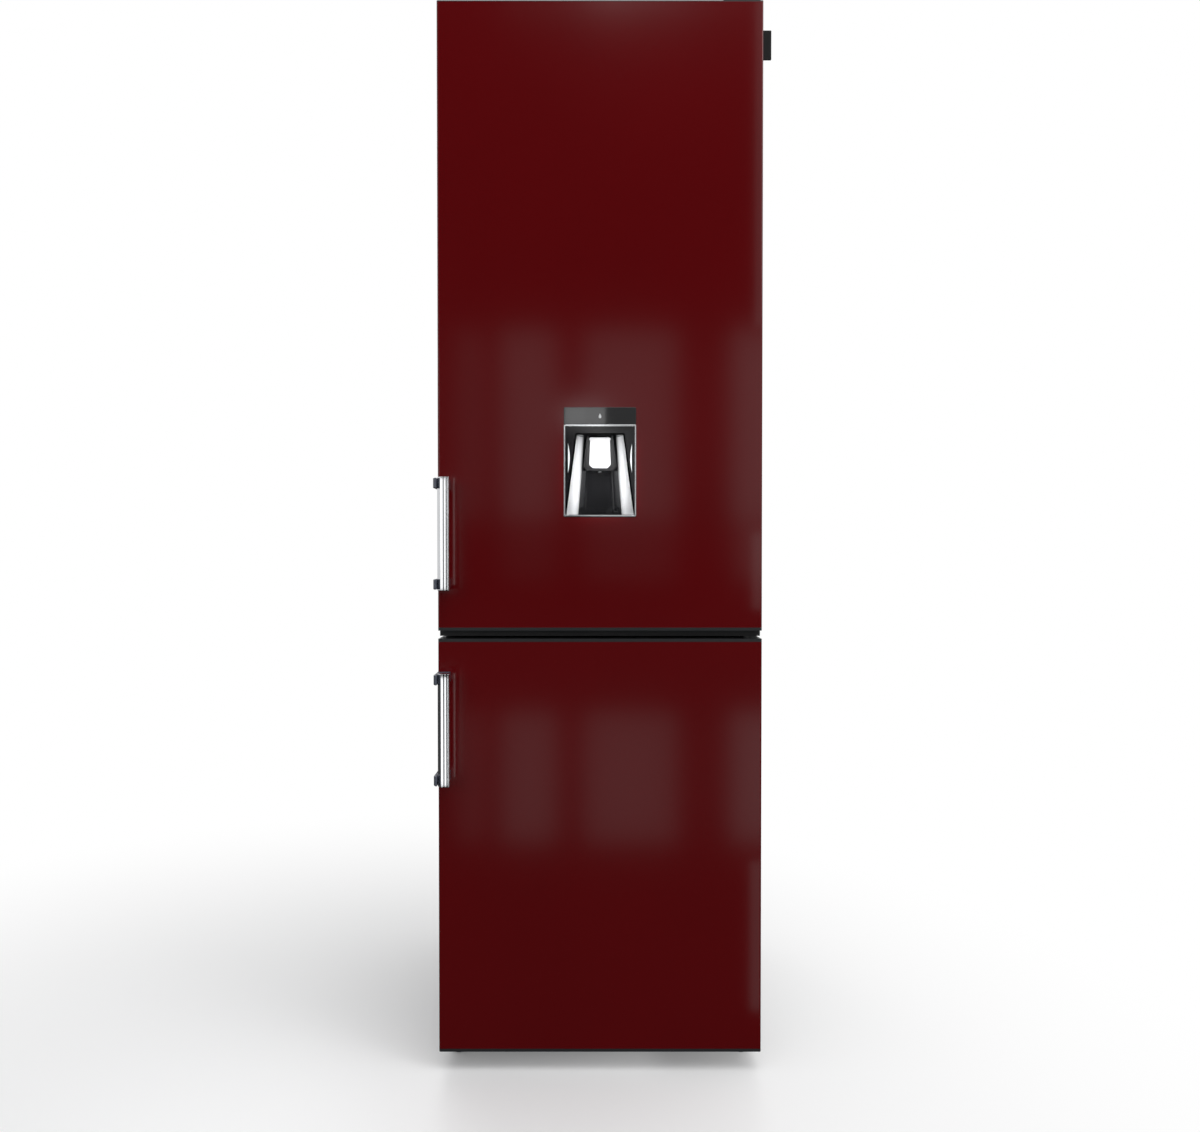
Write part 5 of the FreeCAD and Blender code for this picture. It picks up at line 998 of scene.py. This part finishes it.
stand_in("door_bin_forms", "upper_door", "door_bins", door_bin_shells())
for drawer_name in ("crisper_drawer", "freezer_drawer_top", "freezer_drawer_middle", "freezer_drawer_bottom"):
    stand_in(drawer_name + "_form", drawer_name, drawer_name, drawer_shells(drawer_name))
stand_in("shelf_noses", "root", "shelf_trims", shelf_trim_shells())
stand_in("lamp_lens_form", "root", "light_lens", [lens_shell()], 20.0)
stand_in("knob_form", "thermostat_knob", "thermostat_knob", knob_shells())
stand_in("fan_form", "fan_blade", "fan_blade", fan_shells(), 50.0)
button_name = "light_switch_button"
button_low, button_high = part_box(button_name)
button = soft_block(button_low, button_high, 1.5 * mm, mm, "y")
stand_in("light_button_form", button_name, button_name, [button])


# Screws, feet, rollers, compressor seam and cord gland

SCREW_HEAD = 1.8 * mm
SCREW_RADIUS = 4.6 * mm
SHANK_RADIUS = 2.4 * mm
SHANK_LENGTH = 12 * mm
THREAD_TURNS = 11
THREAD_DEPTH = 0.35 * mm
HEAD_RADII = (0.05, 0.25, 0.45, 0.6, 0.8, 1.1, 1.5, 1.9, 2.1, 2.3, 2.6, 3.2, 3.8, 4.3, 4.6)
RECESS_DEPTH = 1.1 * mm
RECESS_ARM = (0.35 * mm, 0.6 * mm)
RECESS_END = (1.9 * mm, 2.3 * mm)
FRONT_SEAT = -202 * mm
TOP_SEAT = 1817.5 * mm
FRONT_SCREWS = ((225, 741.65), (240, 741.65), (225, 65.5), (240, 65.5))
TOP_SCREWS = ((249, -190.5), (249, -175.5), (225, -190.5))
FOOT_PAD = (
    (4, 0.6), (11.5, 0.6), (12, 0), (14.6, 0), (16.0, 0.5), (16.5, 1.6), (16.5, 6.4), (16.0, 7.8), (14.4, 8.8),
    (12.5, 9.0), (4, 9.0),
)
NUT_RADIUS = 8 * mm
NUT_SPAN = (8.9 * mm, 15 * mm)
STEM_TURNS = 26
WHEEL_SIDE = ((2.9, 1.5), (6, 0.4), (6.6, 0.8), (7.2, 2.6), (12, 2.6), (12.8, 0.6), (15, 0), (15.7, 0.4), (16, 1.2))
WHEEL_TREAD = ((16, 5), (15.3, 5.5), (15.3, 6.2), (16, 6.7))
WHEEL_WIDTH = 18
WHEEL_LEFTS = (-214, 196)
SEAM_BEAD = ((77.6, 98.0), (78.5, 98.2), (79.2, 99.2), (79.2, 100.8), (78.5, 101.8), (77.6, 102.0))
SEAM_AXIS = (60 * mm, 185.5 * mm, 0)


def screw_grid():
    """
    A pan-head screw along its own axis. The head's height at radius r is 1.8 mm * (1 - 0.6 (r / 4.6 mm)^3), less
    a cross recess 1.1 mm deep; the rows then go back under the head and down a grooved shank.
    """
    radius = np.array(HEAD_RADII)[:, None] * mm
    turn = np.linspace(0, FULL_TURN, 64, endpoint=False)[None]
    u, v = radius * np.cos(turn), radius * np.sin(turn)
    cross = 0.0
    for first, second in ((u, v), (v, u)):
        arm = 1 - smooth_step(np.abs(first), *RECESS_ARM)
        cross = np.maximum(cross, arm * (1 - smooth_step(np.abs(second), *RECESS_END)))
    height = SCREW_HEAD * (1 - 0.6 * (radius / SCREW_RADIUS) ** 3) - RECESS_DEPTH * cross
    grid = [np.stack([u, v, height], axis=-1)]
    shank = [(SCREW_RADIUS, 0.0), (SHANK_RADIUS, 0.0)]
    for thread in range(THREAD_TURNS):
        shank += [(SHANK_RADIUS, -(0.8 + thread) * mm), (SHANK_RADIUS - THREAD_DEPTH, -(1.3 + thread) * mm)]
    shank.append((0.4 * mm, -SHANK_LENGTH))
    for width, along in shank:
        grid.append(np.stack([width * np.cos(turn), width * np.sin(turn), np.full(turn.shape, along)], axis=-1))
    return np.concatenate(grid)


def screw_shells():
    """The hinge screws: four enter the front, three enter the top."""
    grid = screw_grid()
    shells = []
    for x, z in FRONT_SCREWS:
        turned = np.stack([grid[..., 0], -grid[..., 2], grid[..., 1]], axis=-1)
        shells.append(skin_over(turned + np.array([x * mm, FRONT_SEAT, z * mm])))
    for x, y in TOP_SCREWS:
        shells.append(skin_over(grid + np.array([x * mm, y * mm, TOP_SEAT])))
    return shells


def foot_shells(node_name):
    """A levelling foot: a ribbed pad, a hexagon and a threaded stem."""
    x, y, _ = middle_of(node_name)
    centre = (x, y, 0)
    pad = lathe([(r * mm, z * mm) for r, z in FOOT_PAD], centre, "z", 144, 24, 0.04)
    corners = [math.radians(60 * index) for index in range(6)]
    hexagon = [(x + NUT_RADIUS * math.cos(q), y + NUT_RADIUS * math.sin(q)) for q in corners]
    nut = bar_along(round_corners(hexagon, 0.6 * mm), *NUT_SPAN, 0.6 * mm)
    thread = [(4 * mm, 14.8 * mm)]
    for turn in range(STEM_TURNS):
        thread += [(3.55 * mm, (16 + 1.5 * turn) * mm), (4 * mm, (16.75 + 1.5 * turn) * mm)]
    thread.append((3.2 * mm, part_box(node_name)[1][2]))
    return [pad, nut, lathe(thread, centre, "z", 40)]


def roller_shells():
    """Two rear wheels with grooved treads and dished sides on one axle."""
    low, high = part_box("rear_rollers")
    middle = middle_of("rear_rollers")
    centre = (0, middle[1], middle[2])
    axle = [(2.4 * mm, low[0]), (3 * mm, low[0] + 0.6 * mm), (3 * mm, high[0] - 0.6 * mm), (2.4 * mm, high[0])]
    shells = [lathe(axle, centre, "x", 40)]
    half = WHEEL_SIDE + WHEEL_TREAD
    profile = half + tuple((r, WHEEL_WIDTH - along) for r, along in half[::-1])
    for left in WHEEL_LEFTS:
        shells.append(lathe([(r * mm, (left + along) * mm) for r, along in profile], centre, "x", 96))
    return shells


def gland_shell():
    """The cord's gland: a flanged sleeve with flexing rings at its back."""
    low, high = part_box("cord_gland")
    middle = middle_of("cord_gland")
    face = (low[1] + high[1]) / 2
    profile = [
        (5.0 * mm, low[1]), (6.6 * mm, low[1]), (7.0 * mm, low[1] + 0.5 * mm), (7.0 * mm, face),
        (10.4 * mm, face), (11 * mm, face + 0.6 * mm), (11 * mm, face + 2.4 * mm), (10.4 * mm, face + 3 * mm),
    ]
    for ring in range(3):
        start = face + (3.3 + 2.7 * ring) * mm
        profile += [
            (6.2 * mm, start), (6.2 * mm, start + 0.8 * mm), (7 * mm, start + 1.2 * mm), (7 * mm, start + 2.3 * mm),
        ]
    profile += [(6.4 * mm, high[1]), (5.0 * mm, high[1])]
    return lathe(profile, (middle[0], 0, middle[2]), "y", 64, loop=True)


def compressor_seam():
    """The welded seam round the compressor's shell: a half-round bead."""
    return lathe([(r * mm, z * mm) for r, z in SEAM_BEAD], SEAM_AXIS, "z", 160, loop=True)


stand_in("hinge_screw_forms", "root", "hinge_screws", screw_shells(), 30.0)
for foot_name in ("foot_left", "foot_right"):
    stand_in(foot_name + "_form", foot_name, foot_name, foot_shells(foot_name))
stand_in("roller_forms", "rear_rollers", "rear_rollers", roller_shells())
stand_in("cord_gland_form", "root", "cord_gland", [gland_shell()])
add(make_piece("compressor_seam", [compressor_seam()]), "root", "compressor_black")


# Camera

DOOR_DISTANCE = 1.5
CAMERA_HEIGHT = 0.886
CAMERA_PITCH_DEG = 0.85
FOCAL_PIXELS = 885.0
PICTURE_WIDTH = 1200.0
SENSOR_WIDTH = 36.0


def make_camera():
    """The photograph's view: near the middle of the doors' height, straight in front and tilted down a little."""
    data = bpy.data.cameras.new("camera")
    data.sensor_width = SENSOR_WIDTH
    data.lens = FOCAL_PIXELS / PICTURE_WIDTH * SENSOR_WIDTH
    camera = bpy.data.objects.new("camera", data)
    camera.location = (0, DOOR_FRONT - DOOR_DISTANCE, CAMERA_HEIGHT)
    camera.rotation_euler = (math.radians(90 - CAMERA_PITCH_DEG), 0, 0)
    bpy.context.scene.collection.objects.link(camera)
    bpy.context.scene.camera = camera


# Stage and light

FLOOR_HALF = 14.0
LIT_SHIFT = (0.5, 0.45, 0)
LIT_REACH = (0.3, 1.75)
WHITE = (1, 1, 1, 1)
FLOOR_GREY = (0.12, 0.12, 0.12, 1)
FLOOR_MIRROR_GLOW = 0.05
ROOM_GLOW = 0.64
ROOM_MIRROR_GLOW = (0.005, 0.75)


def mix_by(owner, factor, first, second):
    """A shader that goes from the first to the second by a factor socket."""
    mix = node(owner, "ShaderNodeMixShader")
    for place, source in enumerate((factor, first, second)):
        link(owner, source, mix.inputs[place])
    return mix.outputs[0]


def soft_step_node(owner, value, low, high):
    """A node's soft step from 0 to 1 between two values."""
    step = node(owner, "ShaderNodeMapRange", interpolation_type="SMOOTHSTEP", From_Min=low, From_Max=high)
    link(owner, value, step.inputs["Value"])
    return step.outputs["Result"]


def make_stage():
    """A plain pale floor: lit and shaded near the object, and white for the camera farther off."""
    mesh = bpy.data.meshes.new("floor")
    corners = [(-1, -1, 0), (1, -1, 0), (1, 1, 0), (-1, 1, 0)]
    mesh.from_pydata((np.array(corners, dtype=float) * FLOOR_HALF).tolist(), [], [(0, 1, 2, 3)])
    floor = bpy.data.objects.new("floor", mesh)
    bpy.context.scene.collection.objects.link(floor)
    material = new_material("floor_paint", (0.93, 0.93, 0.935), 0.32, IOR=1.6)
    place = node(material, "ShaderNodeTexCoord").outputs["Object"]
    for operation, other in (("ADD", LIT_SHIFT), ("MULTIPLY", (1, 1, 0))):
        moved = node(material, "ShaderNodeVectorMath", operation=operation)
        moved.inputs[1].default_value = other
        link(material, place, moved.inputs[0])
        place = moved.outputs["Vector"]
    reach = node(material, "ShaderNodeVectorMath", operation="LENGTH")
    link(material, place, reach.inputs[0])
    fade = soft_step_node(material, reach.outputs["Value"], *LIT_REACH)
    white = node(material, "ShaderNodeEmission", Color=WHITE, Strength=1.0)
    dull = node(material, "ShaderNodeBsdfDiffuse", Color=FLOOR_GREY)
    dark = node(material, "ShaderNodeEmission", Color=WHITE, Strength=FLOOR_MIRROR_GLOW)
    path = node(material, "ShaderNodeLightPath")
    seen = mix_by(material, fade, shader_of(material).outputs[0], white.outputs[0])
    unseen = mix_by(material, path.outputs["Is Glossy Ray"], dull.outputs[0], dark.outputs[0])
    surface = mix_by(material, path.outputs["Is Camera Ray"], unseen, seen)
    out = [found for found in material.node_tree.nodes if found.type == "OUTPUT_MATERIAL"][0]
    link(material, surface, out.inputs["Surface"])
    mesh.materials.append(material)


def make_world():
    """White to the camera; for the rest a soft room: bright behind, beside and above, dim straight in front."""
    world = bpy.data.worlds.new("room")
    world.use_nodes = True
    bpy.context.scene.world = world
    world.node_tree.nodes.clear()
    out = node(world, "ShaderNodeOutputWorld")
    place = node(world, "ShaderNodeTexCoord")
    split = node(world, "ShaderNodeSeparateXYZ")
    link(world, place.outputs["Generated"], split.inputs[0])
    aside = soft_step_node(world, maths(world, "ABSOLUTE", split.outputs["X"]), 0.2, 0.6)
    above = soft_step_node(world, split.outputs["Z"], 0.55, 0.8)
    behind = soft_step_node(world, split.outputs["Y"], -0.3, 0.1)
    open_side = maths(world, "MAXIMUM", maths(world, "MAXIMUM", aside, above), behind)
    lowest, highest = ROOM_MIRROR_GLOW
    level = node(world, "ShaderNodeMapRange", To_Min=lowest, To_Max=highest)
    link(world, open_side, level.inputs["Value"])
    gloss_room = node(world, "ShaderNodeBackground", Color=WHITE)
    link(world, level.outputs[0], gloss_room.inputs["Strength"])
    even_room = node(world, "ShaderNodeBackground", Color=WHITE, Strength=ROOM_GLOW)
    white = node(world, "ShaderNodeBackground", Color=WHITE)
    path = node(world, "ShaderNodeLightPath")
    hidden = mix_by(world, path.outputs["Is Glossy Ray"], even_room.outputs[0], gloss_room.outputs[0])
    seen = maths(world, "MAXIMUM", path.outputs["Is Camera Ray"], path.outputs["Is Transmission Ray"])
    link(world, mix_by(world, seen, hidden, white.outputs[0]), out.inputs["Surface"])


# Lights: panels given by the spans of x and z where they show, in metres, and by how bright they are

LAMP_DISTANCE = 1.2
NEAR_LAMP = 1.1
BAR_LAMP = 0.16
LINE_LAMP = 0.03
EDGE_LAMP = 0.2
WINDOW_ROWS = ((0.945, 1.262), (0.36, 0.615))
WINDOW_COLUMNS = ((-0.24, -0.2, 0.25), (-0.165, -0.075, 0.46), (-0.025, 0.13, 0.44), (0.225, 0.4, 0.66))
DISPENSER_WINDOWS = (
    ("head_window_left", (-0.061, -0.025), (1.1, 1.135), 2.4),
    ("head_window_right", (-0.025, 0.009), (1.1, 1.135), 1.8),
    ("lever_window", (-0.021, 0.021), (1.034, 1.08), 2.0),
)
BAR_FRONT = DOOR_FRONT - 0.046
BAR_ROWS = ((0.825, 1.01), (0.499, 0.68))
BAR_SPAN, BAR_GLOW = (-0.278, -0.2525), 1.4
LINE_SPAN, LINE_GLOW = (-0.2484, -0.2462), 1.6
LOW_WINDOWS = ((-0.165, -0.075, 0.1), (-0.025, 0.13, 0.13), (0.235, 0.4, 0.4))
LOW_WINDOW_SPAN = (0.84, 0.944)
EDGE_WINDOWS = ((0.256, 0.075, 0.36), (0.258, 0.79, 0.92), (0.262, 1.27, 1.83))
EDGE_WINDOW_END, EDGE_GLOW = 0.3, 0.5
NICHE_LAMP_GAP = 0.05
NICHE_LAMP_HEIGHT = 1.02
NICHE_LAMP_SPREAD = math.radians(80)
BASE_LAMP_X, BASE_LAMP_HEIGHT = -0.08, 0.031
BASE_LAMP_Y = DOOR_FRONT + 0.04


def softbox(name, place, aim, width, height, glow):
    """A rectangular studio light of a given brightness that the camera doesn't see."""
    data = bpy.data.lights.new(name, "AREA")
    data.shape = "RECTANGLE"
    data.size = width
    data.size_y = height
    data.energy = glow * math.pi * width * height
    lamp = bpy.data.objects.new(name, data)
    lamp.location = place
    way = np.array(aim, dtype=float) - np.array(place, dtype=float)
    from_vertical = math.acos(-way[2] / np.linalg.norm(way))
    lamp.rotation_euler = (from_vertical, 0, math.atan2(-way[0], way[1]))
    lamp.visible_camera = False
    bpy.context.scene.collection.objects.link(lamp)
    return lamp


def mirrored_panel(name, x_span, z_span, surface_y, glow, away=LAMP_DISTANCE):
    """
    A soft box whose image stands at the given place on the doors' front, as the camera sees it: a span's distance
    from the camera's axis grows by away / reach. For a face before the doors, such as the bars', reach comes out
    too long by twice that face's distance from them, so the image stands there only nearly at its place.
    """
    reach = DOOR_DISTANCE - (surface_y - DOOR_FRONT)
    x = [value * (1 + away / reach) for value in x_span]
    z = [value + (value - CAMERA_HEIGHT) * away / reach for value in z_span]
    middle = ((x[0] + x[1]) / 2, surface_y - away, (z[0] + z[1]) / 2)
    return softbox(name, middle, (middle[0], surface_y, middle[2]), x[1] - x[0], z[1] - z[0], glow)


def make_lights():
    """Panels whose soft images stand on the doors, the room's lamps, and one each for inside, niche and underside."""
    for row, z_span in enumerate(WINDOW_ROWS):
        for column, (x_low, x_high, glow) in enumerate(WINDOW_COLUMNS):
            mirrored_panel("window_%d_%d" % (row, column), (x_low, x_high), z_span, DOOR_FRONT, glow)
    for name, x_span, z_span, glow in DISPENSER_WINDOWS:
        mirrored_panel(name, x_span, z_span, DOOR_FRONT, glow, NEAR_LAMP)
    gloss_only = []
    for row, (z_low, z_high) in enumerate(BAR_ROWS):
        line_rows = (z_low + 0.007, z_high + 0.002)
        gloss_only += [
            mirrored_panel("bar_window_%d" % row, BAR_SPAN, (z_low, z_high), BAR_FRONT, BAR_GLOW, BAR_LAMP),
            mirrored_panel("line_window_%d" % row, LINE_SPAN, line_rows, DOOR_FRONT, LINE_GLOW, LINE_LAMP),
        ]
    for column, (x_low, x_high, glow) in enumerate(LOW_WINDOWS):
        mirrored_panel("low_window_%d" % column, (x_low, x_high), LOW_WINDOW_SPAN, DOOR_FRONT, glow)
    for row, (x_low, z_low, z_high) in enumerate(EDGE_WINDOWS):
        span = (x_low, EDGE_WINDOW_END)
        gloss_only.append(
            mirrored_panel("edge_window_%d" % row, span, (z_low, z_high), DOOR_FRONT, EDGE_GLOW, EDGE_LAMP)
        )
    for lamp in gloss_only:
        lamp.visible_diffuse = False
    mirrored_panel("top_window", (-0.16, 0.16), (1.79, 2.0), DOOR_FRONT, 0.13)

    x, y, _ = middle_of("light_lens")
    below_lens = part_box("light_lens")[0][2] - 5 * mm
    niche = (0, DOOR_FRONT - NICHE_LAMP_GAP, NICHE_LAMP_HEIGHT)
    for name, place, aim, (width, height), glow, mirrored in (
        ("overhead", (0.5, -0.9, 3.6), (0, 0, 0.6), (2.4, 2.4), 2.3, True),
        ("fridge_lamp", (x, y, below_lens), (x, y - 0.02, 0.9), (0.12, 0.05), 8.0, False),
        ("rear", (-1.7, 2.3, 2.4), (0, 0.3, 0.8), (1.4, 1.4), 1.5, True),
        ("niche_lamp", niche, (0, DOOR_FRONT, NICHE_LAMP_HEIGHT), (0.085, 0.115), 2.8, False),
        ("base_lamp", (BASE_LAMP_X, BASE_LAMP_Y, BASE_LAMP_HEIGHT), (BASE_LAMP_X, BASE_LAMP_Y, 0),
         (0.36, 0.08), 0.21, False),
        ("fill", (-1.4, -2.4, 1.3), (0, 0, 0.9), (1.0, 1.0), 1.2, True),
        ("key", (2.3, -1.7, 2.6), (0, 0, 0.7), (1.2, 1.2), 3.2, True),
    ):
        lamp = softbox(name, place, aim, width, height, glow)
        lamp.visible_glossy = mirrored
        if name == "niche_lamp":
            lamp.data.spread = NICHE_LAMP_SPREAD


bpy.context.scene.view_settings.view_transform = "Standard"
make_camera()
make_stage()
make_world()
make_lights()
